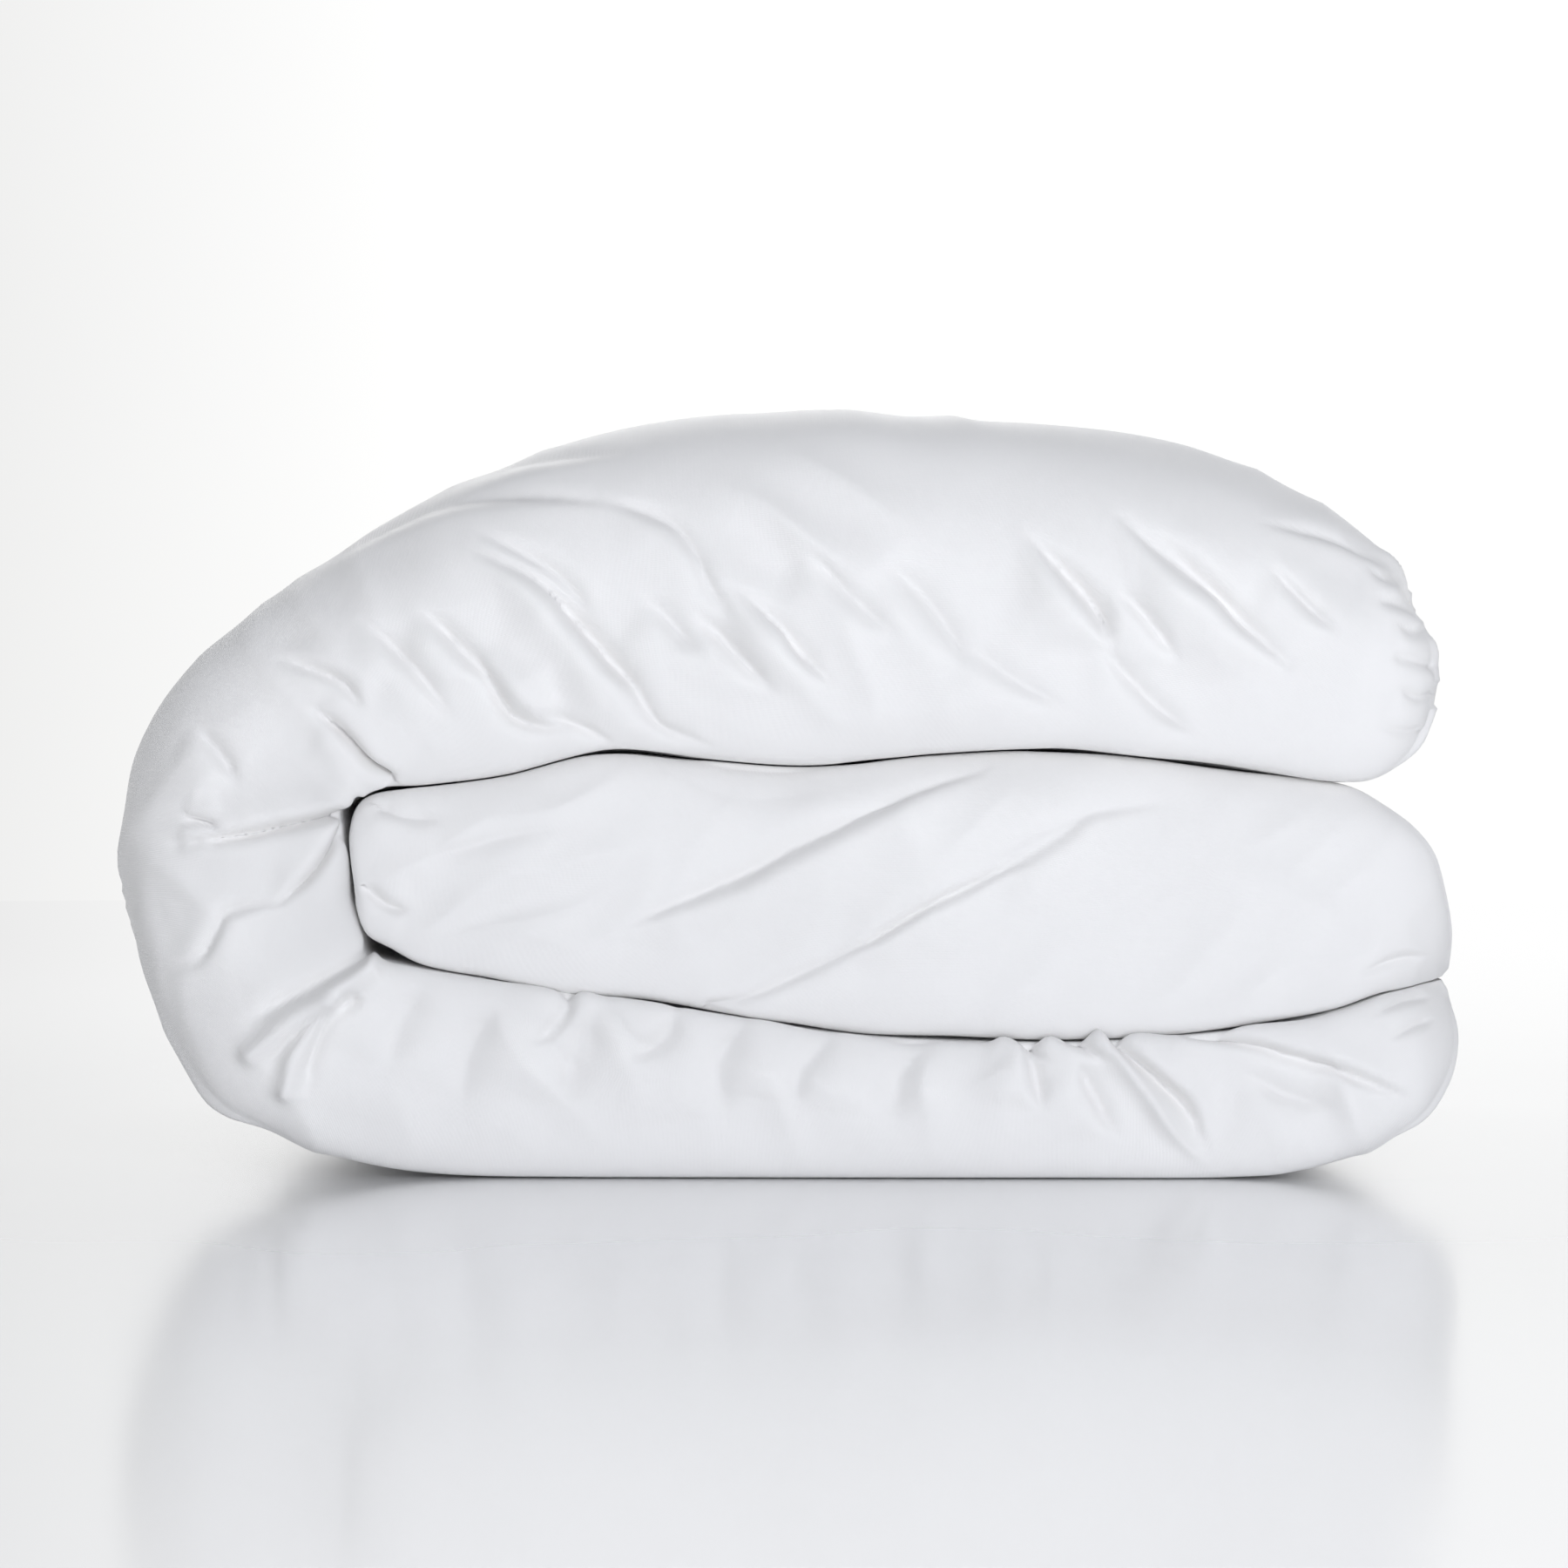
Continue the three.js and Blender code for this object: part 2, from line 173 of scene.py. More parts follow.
def box_grid(steps):
    """A closed box from 0 to 1, its sides gridded with steps along X, Y and Z."""
    bm = bmesh.new()
    bmesh.ops.create_cube(bm, size=1, matrix=Matrix.Translation((0.5, 0.5, 0.5)))
    for axis, count in enumerate(steps):
        lengthways = [e for e in bm.edges if abs((e.verts[1].co - e.verts[0].co)[axis]) > 0.5]
        if count > 1:
            bmesh.ops.subdivide_edges(bm, edges=lengthways, cuts=count - 1, use_grid_fill=True)
    return bm


def read_places(mesh):
    flat = np.empty(len(mesh.vertices) * 3, np.float32)
    mesh.vertices.foreach_get("co", flat)
    return flat.reshape(-1, 3).astype(float)


def write_places(mesh, places):
    mesh.vertices.foreach_set("co", np.asarray(places, np.float32).ravel())
    mesh.update()


def read_normals(mesh):
    flat = np.empty(len(mesh.vertices) * 3, np.float32)
    mesh.vertex_normals.foreach_get("vector", flat)
    return flat.reshape(-1, 3).astype(float)


def add_piece(bm, name, material):
    """An object at the origin from a bmesh, shaded smooth."""
    mesh = bpy.data.meshes.new(name)
    bm.to_mesh(mesh)
    bm.free()
    mesh.shade_smooth()
    mesh.materials.append(material)
    piece = bpy.data.objects.new(name, mesh)
    bpy.context.scene.collection.objects.link(piece)
    return piece


def face_out(mesh):
    bm = bmesh.new()
    bm.from_mesh(mesh)
    bmesh.ops.recalc_face_normals(bm, faces=bm.faces)
    bm.to_mesh(mesh)
    bm.free()


def map_weave(mesh, grid, lengths):
    """A UV map in metres, laid along each side of a box grid that is about to be bent."""
    corners = np.empty(len(mesh.loops), np.int32)
    mesh.loops.foreach_get("vertex_index", corners)
    sides = grid[corners].reshape(-1, 4, 3)
    flat_axis = np.argmin(sides.max(axis=1) - sides.min(axis=1), axis=1)
    first = np.where(flat_axis == 0, 1, 0)
    second = np.where(flat_axis == 2, 1, 2)
    pick = np.arange(len(sides))[:, None], np.arange(4)[None, :]
    scaled = sides * lengths
    uv = np.stack([scaled[(*pick, first[:, None])], scaled[(*pick, second[:, None])]], axis=-1)
    layer = mesh.uv_layers.new(name="Weave")
    layer.data.foreach_set("uv", uv.astype(np.float32).ravel())


def smoothstep(low, high, value):
    t = np.clip((value - low) / (high - low), 0, 1)
    return t * t * (3 - 2 * t)


def ripples(places, length, seed, heading=(0, 0, 0), waves=16):
    """Soft irregular waves of about one size, from -1 to 1, that mostly follow one another along the
    heading where one is given."""
    random = np.random.default_rng(seed)
    directions = random.normal(size=(waves, 3)) + 3 * np.array(heading)
    directions /= np.linalg.norm(directions, axis=1)[:, None]
    lengths = length * random.uniform(0.7, 1.5, waves)
    phases = random.uniform(0, 2 * math.pi, waves)
    waving = places @ directions.T * (2 * math.pi / lengths) + phases
    return np.sin(waving).sum(axis=1) / math.sqrt(waves) / 1.4


# ---------------------------------------------------------------- soft layers

# The raised side seam behind each ply: its width as a share of the loft, and the groove beside it
WELT_WIDTH = 0.012
WELT_GROOVE = 0.8
WELT_GROOVE_PLACE = 2.5
SKIN_RISE = 0.12
BACK_FULLNESS = 0.7


class SoftLayer:
    """Maps a unit box into a puffed layer. The first coordinate follows the layer's stations, the
    second goes from the front fold to the two ply edges behind, and the third from the inner side
    of the roll to the outer side."""

    def __init__(self, stations, settings, skin_share):
        self.skin_share = skin_share
        self.outer = curve_through([a for a, _ in stations])
        self.inner = curve_through([b for _, b in stations])
        self.settings = settings
        fine = np.linspace(0, len(stations) - 1, 60 * len(stations))
        outside = np.linalg.norm(np.diff(self.outer(fine) * SCALE, axis=0), axis=1)
        inside = np.linalg.norm(np.diff(self.inner(fine) * SCALE, axis=0), axis=1)
        self.run = np.concatenate([[0], np.cumsum((outside + inside) / 2)])
        self.station = fine
        self.length = self.run[-1]

    def share_of(self, station):
        """How far along the layer a station is, from 0 to 1."""
        return float(np.interp(station, self.station, self.run)) / self.length

    def place(self, grid):
        u, v, w = np.asarray(grid, float).T
        run = u * self.length
        station = np.interp(run, self.run, self.station)
        outer = self.outer(station) * SCALE
        inner = self.inner(station) * SCALE
        loft = np.linalg.norm(outer - inner, axis=1)
        middle = (outer[:, 0] + inner[:, 0]) / 2
        right = self.settings.right_corner
        left = self.settings.left_corner
        inset = np.clip((middle - cad_high.x) / right + 1, 0, 1)
        tuck = right * (1 - np.sqrt(1 - inset**2))
        inset = np.clip((cad_low.x - middle) / left + 1, 0, 1)
        tuck += left * (1 - np.sqrt(1 - inset**2))
        depth = np.minimum(self.settings.fold_roundness * loft, self.settings.deepest_fold)
        lean = np.abs(np.cos(np.pi * w))
        seam_share = self.settings.seam_share
        raised = smoothstep(0.0, SKIN_RISE, outer[:, 1])
        depth *= np.where(w < 0.5, seam_share, seam_share + (self.skin_share - seam_share) * raised)
        squareness = np.where(w < 0.5, self.settings.seam_squareness, self.settings.skin_squareness)
        turn = (1 - lean**squareness) ** (1 / squareness)
        front = FRONT_Y + tuck + depth * (1 - turn)
        ply = np.where(w < 0.5, 0, 0.5)
        back_turn = np.abs(np.sin(2 * np.pi * w)) ** BACK_FULLNESS
        back = BACK_Y - tuck - self.settings.edge_roundness * loft * (1 - back_turn)
        from_welt = np.abs(w - ply - 0.25) / WELT_WIDTH
        welt = np.exp(-(from_welt**2)) - WELT_GROOVE * np.exp(-((from_welt - WELT_GROOVE_PLACE) ** 2))
        back += self.settings.side_seam * welt
        front_share = (1 - np.cos(np.pi * w)) / 2
        back_share = ply + (1 - np.cos(2 * np.pi * (w - ply))) / 4
        share = front_share + (back_share - front_share) * v
        section = inner + (outer - inner) * share[:, None]
        return np.column_stack([section[:, 0], front + (back - front) * v, section[:, 1]])


def freedom(places):
    """How free the cloth is to move, from 0 where layers press together or on the floor, to 1."""
    x, _, z = places.T
    across = x / SCALE[0]
    inside = smoothstep(HUB_X - 25, HUB_X + 5, across)
    lower = np.abs(z - LOWER_SEAM(across) * SCALE[1])
    upper = np.abs(z - UPPER_SEAM(across) * SCALE[1])
    near_seam = 1 - smoothstep(0.002, 0.03, np.minimum(lower, upper))
    near_hub = 1 - smoothstep(0.004, 0.03, np.abs(x - HUB_X * SCALE[0]))
    hub_height = smoothstep(0.1, 0.13, z) * (1 - smoothstep(0.2, 0.23, z))
    return (1 - near_seam * inside) * (1 - near_hub * hub_height) * smoothstep(0.002, 0.05, z)


# ---------------------------------------------------------------- creases

EYE = Vector((0, -2.76, 0.219))
DRAWING_Y = 0.8 * FRONT_Y
SHOULDER_SPREAD = 4.0
SHOULDER_RISE = 1.5
VALLEY_SINK = 0.8
VALLEY_SHARPNESS = 0.95


class Crease:
    """A crease drawn in millimetres on an upright plane through the front of the roll. It sinks by
    depth over width, with a raised shoulder on its left and right as it is drawn, and gathers the
    cloth beside it. A negative depth makes a ridge. It fades at the ends that are not open."""

    def __init__(self, points, depth, width, left=0.3, right=0.3, opens="", gather=0.35):
        self.points = points
        self.depth = depth * SCALE[1]
        self.width = width * SCALE[1]
        self.left = left
        self.right = right
        self.opens = opens
        self.gather = gather

    def line(self):
        """The crease as close points, with how far each is from fading out."""
        stations = np.linspace(0, len(self.points) - 1, 24 * (len(self.points) - 1) + 1)
        line = curve_through(self.points)(stations) * SCALE
        share = np.linspace(0, 1, len(line))
        fade = np.ones(len(line))
        if "start" not in self.opens:
            fade *= smoothstep(-0.08, 0.35, share)
        if "end" not in self.opens:
            fade *= smoothstep(-0.08, 0.35, 1 - share)
        return line, fade

    def press(self, seen):
        """How far each seen point moves out, and how far it moves across the drawing."""
        out = np.zeros(len(seen))
        across = np.zeros((len(seen), 2))
        line, fade = self.line()
        reach = 2.5 * SHOULDER_SPREAD * self.width
        low = line.min(axis=0) - reach
        high = line.max(axis=0) + reach
        near = np.flatnonzero(((seen > low) & (seen < high)).all(axis=1))
        if not len(near):
            return out, across
        apart = seen[near, None, :] - line[None, :, :]
        closest = np.argmin((apart**2).sum(axis=2), axis=1)
        heading = np.gradient(line, axis=0)
        heading /= np.linalg.norm(heading, axis=1)[:, None]
        leftward = np.column_stack([-heading[:, 1], heading[:, 0]])[closest]
        offset = apart[np.arange(len(near)), closest]
        side = np.sign((offset * leftward).sum(axis=1))
        s = side * np.linalg.norm(offset, axis=1) / (self.width * (0.35 + 0.65 * fade[closest]))
        past_end = np.abs((offset * heading[closest]).sum(axis=1)) / self.width
        strength = fade[closest] * np.exp(-(past_end**2) / 2)
        distance = np.abs(s)
        shoulder = (1 - np.exp(-distance / 0.8)) * np.exp(-((distance / SHOULDER_SPREAD) ** 2))
        raised = np.where(s > 0, self.left, self.right) * shoulder
        sunk = VALLEY_SINK * np.exp(-((VALLEY_SHARPNESS * s) ** 2))
        out[near] = self.depth * strength * (SHOULDER_RISE * raised - sunk)
        pull = -self.gather * self.width * strength * s * np.exp(-(s**2) / 3)
        across[near] = leftward * pull[:, None]
        return out, across


def seen_places(places):
    """Where places fall on the drawing plane, looked at from the eye."""
    nearness = (DRAWING_Y - EYE.y) / (places[:, 1] - EYE.y)
    return np.column_stack([places[:, 0] * nearness, (places[:, 2] - EYE.z) * nearness + EYE.z])


def press_creases(places, normals, creases, strength):
    """Moves the cloth that faces the front along its normals, by the creases drawn on it."""
    seen = seen_places(places)
    facing = smoothstep(0.05, 0.45, -normals[:, 1])
    for crease in creases:
        out, across = crease.press(seen)
        places[:, 0] += across[:, 0] * facing * strength
        places[:, 2] += across[:, 1] * facing * strength
        places += normals * (out * facing * strength)[:, None]


# Each row holds the points, depth and width of a crease, and then what it has of the rest
TOP_CREASES = [
    ([(-176, 352), (-140, 333), (-119, 312), (-101, 291), (-83, 271), (-67, 247)], 11, 7, 0.05, 0.8),
    ([(-175, 362), (-140, 346), (-122, 333), (-108, 316)], 6, 5, 0.1, 0.6),
    ([(-100, 379), (-83, 375), (-63, 366), (-51, 351), (-42, 330), (-26, 312)], 5, 6, 0.1, 0.5),
    ([(-30, 332), (-3, 309), (9, 294), (26, 276)], 8, 6, 0.05, 0.8),
    ([(-78, 324), (-62, 308), (-46, 290)], 5, 8, 0.1, 0.6),
    ([(-50, 318), (-30, 296), (-6, 272)], 6, 7, 0.1, 0.6),
    ([(-206, 318), (-186, 298), (-170, 278)], 8, 7, 0.1, 0.6),
    ([(-176, 298), (-161, 268), (-149, 256), (-126, 249)], 10, 6, 0.8, 0.1),
    ([(-145, 262), (-119, 253), (-98, 243)], 5, 4, 0.1, 0.3),
    ([(140, 360), (165, 333), (177, 318), (187, 298)], 11, 7, 0.05, 0.7),
    ([(180, 298), (207, 268), (232, 248)], 6, 7, 0.1, 0.5),
    ([(192, 330), (209, 310), (224, 290)], 6, 6, 0.1, 0.6),
    ([(190, 372), (224, 342), (245, 326), (263, 309), (288, 286)], 10, 7, 0.05, 0.8),
    ([(212, 362), (239, 339), (262, 316)], 5, 5, 0.2, 0.4),
    ([(278, 342), (296, 323), (314, 306)], 6, 6, 0.1, 0.5),
    ([(270, 368), (308, 360), (329, 351), (350, 341)], 4, 4, 0.3, 0.3),
    ([(330, 344), (342, 336), (354, 334)], 3, 4, 0.2, 0.4),
    ([(338, 322), (349, 321), (362, 316)], 3, 4, 0.2, 0.4, "end"),
    ([(349, 309), (357, 305), (368, 306)], 3, 3.5, 0.2, 0.3, "end"),
    ([(345, 291), (355, 290), (368, 286)], 3, 4, 0.3, 0.2, "end"),
    ([(351, 273), (360, 268), (368, 270)], 3, 3.5, 0.2, 0.3, "end"),
    ([(340, 252), (350, 249), (360, 250)], 2, 4, 0.2, 0.3, "end"),
    ([(-262, 344), (-205, 374), (-150, 383), (-95, 379)], 4, 6, 0.3, 0.3),
    ([(-230, 374), (-160, 399), (-90, 408)], 3, 5, 0.3, 0.3),
    ([(14, 352), (35, 328), (64, 302)], 5, 8, 0.1, 0.6),
    ([(60, 345), (85, 318), (106, 286)], 5, 9, 0.1, 0.6),
    ([(-240, 312), (-212, 286), (-190, 258)], 6, 7, 0.1, 0.6),
    ([(-96, 270), (-75, 254), (-40, 240)], 4, 6, 0.2, 0.4),
    ([(104, 300), (128, 280), (160, 262)], 4, 8, 0.1, 0.5),
]

FOLD_CREASES = [
    ([(-289, 291), (-253, 278), (-240, 262)], 6, 4.5, 0.5, 0.5),
    ([(-268, 262), (-256, 253), (-247, 244), (-237, 232), (-225, 224)], 13, 4, 0.25, 0.25, "end", 0.6),
    ([(-336, 252), (-322, 236), (-311, 221)], 6, 7, 0.2, 0.7),
    ([(-345, 200), (-333, 198), (-320, 196)], 8, 3.5, 0.3, 0.3, "", 0.6),
    ([(-356, 183), (-313, 189), (-289, 194), (-256, 202), (-244, 210)], 13, 4.5, 0.3, 0.2, "end", 0.6),
    ([(-244, 206), (-259, 181), (-271, 166), (-289, 150)], 9, 4, 0.3, 0.3, "start", 0.6),
    ([(-284, 152), (-305, 149), (-318, 145), (-325, 132), (-333, 120), (-352, 109)], 6, 4, 0.4, 0.2),
    ([(-240, 120), (-262, 108), (-285, 96), (-306, 84)], 6, 5, 0.2, 0.2, "start"),
    ([(-236, 114), (-259, 100), (-284, 82), (-303, 65)], -11, 6.5, 0, 0, "start end", 0.2),
    ([(-252, 95), (-268, 84), (-281, 71), (-293, 56)], 9, 3.5, 0.1, 0.1, "", 0.5),
    ([(-258, 92), (-270, 78), (-279, 62), (-283, 44)], -11, 6, 0, 0, "start end", 0.2),
    ([(-246, 96), (-258, 84), (-267, 66), (-272, 44)], 9, 4, 0.1, 0.1, "start", 0.5),
]

BASE_CREASES = [
    ([(-205, 104), (-219, 84), (-226, 58)], 5, 12, 0.1, 0.4),
    ([(-160, 96), (-178, 70), (-184, 38)], 4, 15, 0.1, 0.4),
    ([(-122, 101), (-128, 88), (-146, 70)], 6, 6, 0.5, 0.2, "start"),
    ([(-104, 92), (-120, 66), (-122, 36)], 5, 13, 0.1, 0.5),
    ([(-60, 92), (-72, 74), (-90, 62)], 5, 8, 0.1, 0.5),
    ([(-20, 86), (-38, 60), (-34, 30)], 6, 14, 0.1, 0.5),
    ([(30, 78), (10, 56), (6, 36)], 4, 11, 0.1, 0.5),
    ([(86, 74), (66, 54), (62, 26)], 5, 14, 0.1, 0.4),
    ([(127, 77), (138, 71), (151, 62)], 6, 4, 0.2, 0.6, "start"),
    ([(135, 72), (142, 56), (147, 34)], 7, 6, 0.1, 0.6),
    ([(154, 77), (166, 70), (182, 60)], 6, 4, 0.2, 0.6, "start"),
    ([(166, 62), (176, 42), (188, 20)], 6, 6, 0.1, 0.5),
    ([(176, 76), (190, 64), (207, 41), (220, 23), (238, 4)], -9, 7, 0, 0, "start"),
    ([(182, 77), (201, 63), (218, 48), (231, 34), (240, 12)], 10, 4, 0.6, 0.1, "start", 0.3),
    ([(228, 79), (272, 69), (308, 59), (332, 50), (358, 39)], 8, 4, 0.5, 0.1, "start", 0.3),
    ([(262, 54), (285, 42), (310, 34)], 5, 9, 0.1, 0.4),
    ([(367, 97), (354, 96), (338, 88)], 4, 4, 0.3, 0.3, "", 0.3),
    ([(370, 84), (360, 82), (346, 74)], 3, 4, 0.3, 0.3, "", 0.3),
]

HEAD_CREASES = [
    (
        [(-95, 137), (-60, 151), (-20, 168), (13, 185), (55, 206), (78, 216), (112, 226)], 7, 7, 0.05, 0.7
    ),
    ([(-42, 93), (-20, 98), (16, 114), (52, 131)], 4, 5, 0.2, 0.4, "start"),
    ([(35, 123), (52, 131), (78, 147), (105, 160), (135, 175)], 8, 4, 0.2, 0.4, "", 0.6),
    ([(118, 166), (135, 175), (159, 189), (175, 200)], 4, 6, 0.2, 0.4),
    ([(112, 173), (140, 190), (170, 201), (218, 208)], 2.5, 5, 0.2, 0.3),
    ([(-215, 176), (-190, 180), (-160, 188), (-125, 194)], 3, 8, 0.1, 0.4),
    ([(-205, 128), (-170, 138), (-130, 146), (-90, 165)], -3, 9, 0.1, 0.1),
    ([(-228, 205), (-215, 200), (-196, 199)], 4, 6, 0.3, 0.3, "start"),
    ([(-236, 158), (-226, 150), (-214, 147)], 5, 5, 0.3, 0.3, "start"),
    ([(-60, 222), (-20, 210), (30, 216)], 2, 12, 0.1, 0.3),
    ([(366, 121), (350, 119), (330, 112)], 4, 4, 0.3, 0.3, "", 0.3),
    ([(240, 190), (280, 170), (320, 140)], 2, 16, 0.1, 0.2),
]
ROLL_CREASES = [Crease(*row) for row in TOP_CREASES + FOLD_CREASES + BASE_CREASES]
MIDDLE_CREASES = [Crease(*row) for row in HEAD_CREASES]

# ---------------------------------------------------------------- materials


def math_method(operation, swapped=False):
    """A method that adds a Math node, with its two numbers the other way round where swapped."""

    def apply(self, other):
        first, second = (other, self) if swapped else (self, other)
        return self._math(operation, first, second)

    return apply


class Number:
    """A shader number. Each operator adds its Math node."""

    def __init__(self, tree, socket):
        self.tree = tree
        self.socket = socket

    def _math(self, operation, first, second):
        node = self.tree.nodes.new("ShaderNodeMath")
        node.operation = operation
        for slot, value in enumerate((first, second)):
            if isinstance(value, Number):
                self.tree.links.new(value.socket, node.inputs[slot])
            else:
                node.inputs[slot].default_value = value
        return Number(self.tree, node.outputs[0])

    __add__ = math_method("ADD")
    __radd__ = math_method("ADD", swapped=True)
    __sub__ = math_method("SUBTRACT")
    __rsub__ = math_method("SUBTRACT", swapped=True)
    __mul__ = math_method("MULTIPLY")
    __rmul__ = math_method("MULTIPLY", swapped=True)
    __truediv__ = math_method("DIVIDE")
    greater = math_method("GREATER_THAN")
    lower_of = math_method("MINIMUM")


class Finish:
    """A material and the nodes that make it."""

    def __init__(self, name):
        self.material = bpy.data.materials.new(name)
        self.material.use_nodes = True
        self.tree = self.material.node_tree
        self.shader = self.tree.nodes["Principled BSDF"]

    def node(self, kind, settings=None, **inputs):
        """A node with its settings made first, and then the values or links of its sockets."""
        made = self.tree.nodes.new(kind)
        for name, value in (settings or {}).items():
            setattr(made, name, value)
        for name, value in inputs.items():
            self.feed(made, name.replace("_", " "), value)
        return made

    def feed(self, node, name, value):
        socket = next(s for s in node.inputs if s.name == name and s.enabled)
        if isinstance(value, Number):
            self.tree.links.new(value.socket, socket)
        elif isinstance(value, bpy.types.NodeSocket):
            self.tree.links.new(value, socket)
        else:
            socket.default_value = value

    def number(self, node, output=0):
        return Number(self.tree, node.outputs[output])

    def set(self, **inputs):
        for name, value in inputs.items():
            self.feed(self.shader, name.replace("_", " "), value)

    def mix(self, factor, first, second):
        """A colour between two colours."""
        made = self.node("ShaderNodeMix", {"data_type": "RGBA"}, Factor=factor)
        colours = [s for s in made.inputs if s.type == "RGBA"]
        for socket, value in zip(colours, (first, second)):
            if isinstance(value, bpy.types.NodeSocket):
                self.tree.links.new(value, socket)
            else:
                socket.default_value = (*value[:3], 1)
        return next(s for s in made.outputs if s.type == "RGBA")

    def place(self):
        return self.node("ShaderNodeTexCoord").outputs["Object"]

    def noise(self, vector, scale, detail=3.0, roughness=0.5):
        inputs = {"Vector": vector, "Scale": scale, "Detail": detail, "Roughness": roughness}
        return self.number(self.node("ShaderNodeTexNoise", None, **inputs))

    def threads(self, vector, spacing, direction):
        """Parallel threads, brightest along their middles."""
        settings = {"wave_type": "BANDS", "bands_direction": direction, "wave_profile": "SIN"}
        scale = math.pi / 10 / spacing
        made = self.node("ShaderNodeTexWave", settings, Vector=vector, Scale=scale, Distortion=0.0)
        return self.number(made, 1)

    def bump(self, height, distance, strength=1.0):
        made = self.node("ShaderNodeBump", None, Height=height, Distance=distance, Strength=strength)
        self.feed(self.shader, "Normal", made.outputs[0])


def shade(colour, factor):
    return tuple(c * factor for c in colour[:3])


def woven(name, colour, thread, rough, sheen, slub=0.3):
    """A plain or sateen cloth: warp and weft threads, uneven yarn, and a soft sheen."""
    cloth = Finish(name)
    weave = cloth.node("ShaderNodeUVMap", {"uv_map": "Weave"}).outputs[0]
    place = cloth.place()
    warp = cloth.threads(weave, thread, "X")
    weft = cloth.threads(weave, 1.6 * thread, "Y")
    yarn = cloth.noise(weave, 0.25 / thread, 2.0)
    wash = cloth.noise(place, 9.0, 3.0)
    creasing = cloth.noise(place, 70.0, 4.0, 0.6)
    cloth.set(Base_Color=cloth.mix(wash, shade(colour, 0.985), shade(colour, 1.01)))
    cloth.set(Roughness=rough + 0.1 * yarn, Sheen_Weight=sheen, Sheen_Roughness=0.45)
    cloth.set(Specular_IOR_Level=0.45)
    height = warp * 0.5 + weft * 0.35 + yarn * slub + creasing * 2.5
    cloth.bump(height, 0.00012)
    return cloth.material


# ---------------------------------------------------------------- settings


def amount(name, description, default, **limits):
    """A setting that is a plain number."""
    return FloatProperty(name=name, description=description, default=default, **limits)


def metres(name, description, default):
    """A setting that is a length."""
    return amount(name, description, default, unit="LENGTH")


class DuvetCoverSettings(bpy.types.PropertyGroup):
    """Shape and cloth of the cover"""

    fold_roundness: amount("Fold Roundness", "Depth of the front fold as a share of a layer's loft", 0.42)
    deepest_fold: metres("Deepest Fold", "Most that the front fold curves back", 0.075)
    edge_roundness: amount("Edge Roundness", "Depth of the rear edges as a share of a layer's loft", 0.24)
    right_corner: metres("Right Corner", "Rounding of the right end, seen from above", 0.06)
    left_corner: metres("Left Corner", "Rounding of the left end, seen from above", 0.03)
    seam_share: amount("Seam Fold", "Share of the front fold's depth beside a seam", 0.4)
    seam_squareness: amount("Seam Squareness", "How full the cloth is beside a seam", 6.5, min=2.0)
    skin_squareness: amount("Skin Squareness", "How full the cloth is on the outside", 2.2, min=2.0)
    side_seam: metres("Side Seam", "How far the seam along each rear edge stands out", 0.0022)
    lining_share: amount("Lining Thickness", "Share of a layer's loft that the lining takes up", 0.012)
    lining_inset: metres("Lining Inset", "How far the lining stops short of the ends", 0.03)
    undulation: metres("Undulation", "Height of the broad soft waves", 0.0035)
    crumple: metres("Crumple", "Height of the small soft creases", 0.004)
    deepest_hollow: metres("Deepest Hollow", "Most that the waves may sink into the fill", 0.004)
    pressed_dents: metres("Pressed Dents", "Depth of the dents where layers press together", 0.0009)
    puckers: metres("Edge Puckers", "Height of the puckers along the rear edges", 0.0011)
    top_calm: amount("Calm Top", "Share of the waves taken out of the cloth that faces up", 0.5)
    crease_strength: amount("Crease Strength", "Share of the drawn depth that the creases have", 1.0)
    colour: FloatVectorProperty(
        name="Cover Colour", description="Colour of the sateen", default=(0.925, 0.915, 0.90), subtype="COLOR"
    )
    thread: metres("Thread Spacing", "Distance between the threads", 0.0006)


class FillSettings(bpy.types.PropertyGroup):
    """Shape of the pockets of fill"""

    margin: metres("Pocket Margin", "Space round a pocket along the layer", 0.024)
    skin_margin: amount("Skin Margin", "Share of the loft left free above and below a pocket", 0.13)
    clearance: metres("Clearance", "Space kept between a pocket and the cover", 0.006)
    puff: amount("Puff", "How round a pocket is", 0.35, min=0.0, max=1.0)
    lumpiness: metres("Lumpiness", "Height of the lumps in the wadding", 0.002)


class ZipSettings(bpy.types.PropertyGroup):
    """Sizes of the zip and the label"""

    pitch: metres("Tooth Pitch", "Distance between the teeth", 0.003)
    tape_wave: metres("Tape Wave", "Length of the soft waves in the tapes", 0.018)
    label_curl: metres("Label Curl", "How far the foot of the label stands off", 0.004)


class StudioSettings(bpy.types.PropertyGroup):
    """Floor, lights and lens of the stage"""

    floor_radius: metres("Floor Radius", "Size of the pale floor", 5.6)
    lens: amount("Lens", "Focal length on a 36 mm sensor", 100.0)
    key_power: amount("Key Light", "Power of the front softbox in watts", 62.0)
    rear_power: amount("Rear Light", "Power of the rear softbox in watts", 26.0)
    ambient: amount("Ambient", "Strength of the room's light", 0.47)


# ---------------------------------------------------------------- pieces

# Patterns of waves in the cloth
BROAD_WAVES = {"length": 0.2, "seed": 11}
FINE_LENGTH = 0.075
FINE_SEED = 23
UPRIGHT_WAVES = {"length": 0.075, "seed": 29, "heading": (1, 0, 0.3), "waves": 24}
GATHERED_WAVES = {"length": 0.085, "seed": 41, "heading": (0, 0.8, 0.5), "waves": 24}
PATCHES = {"length": 0.16, "seed": 5}
DIMPLES = {"length": 0.09, "seed": 31, "heading": (0.6, 0.5, 0), "waves": 20}
PUCKERS = {"length": 0.024, "seed": 37, "heading": (1, 0, 0.5), "waves": 24}
LUMP_LENGTH = 0.03

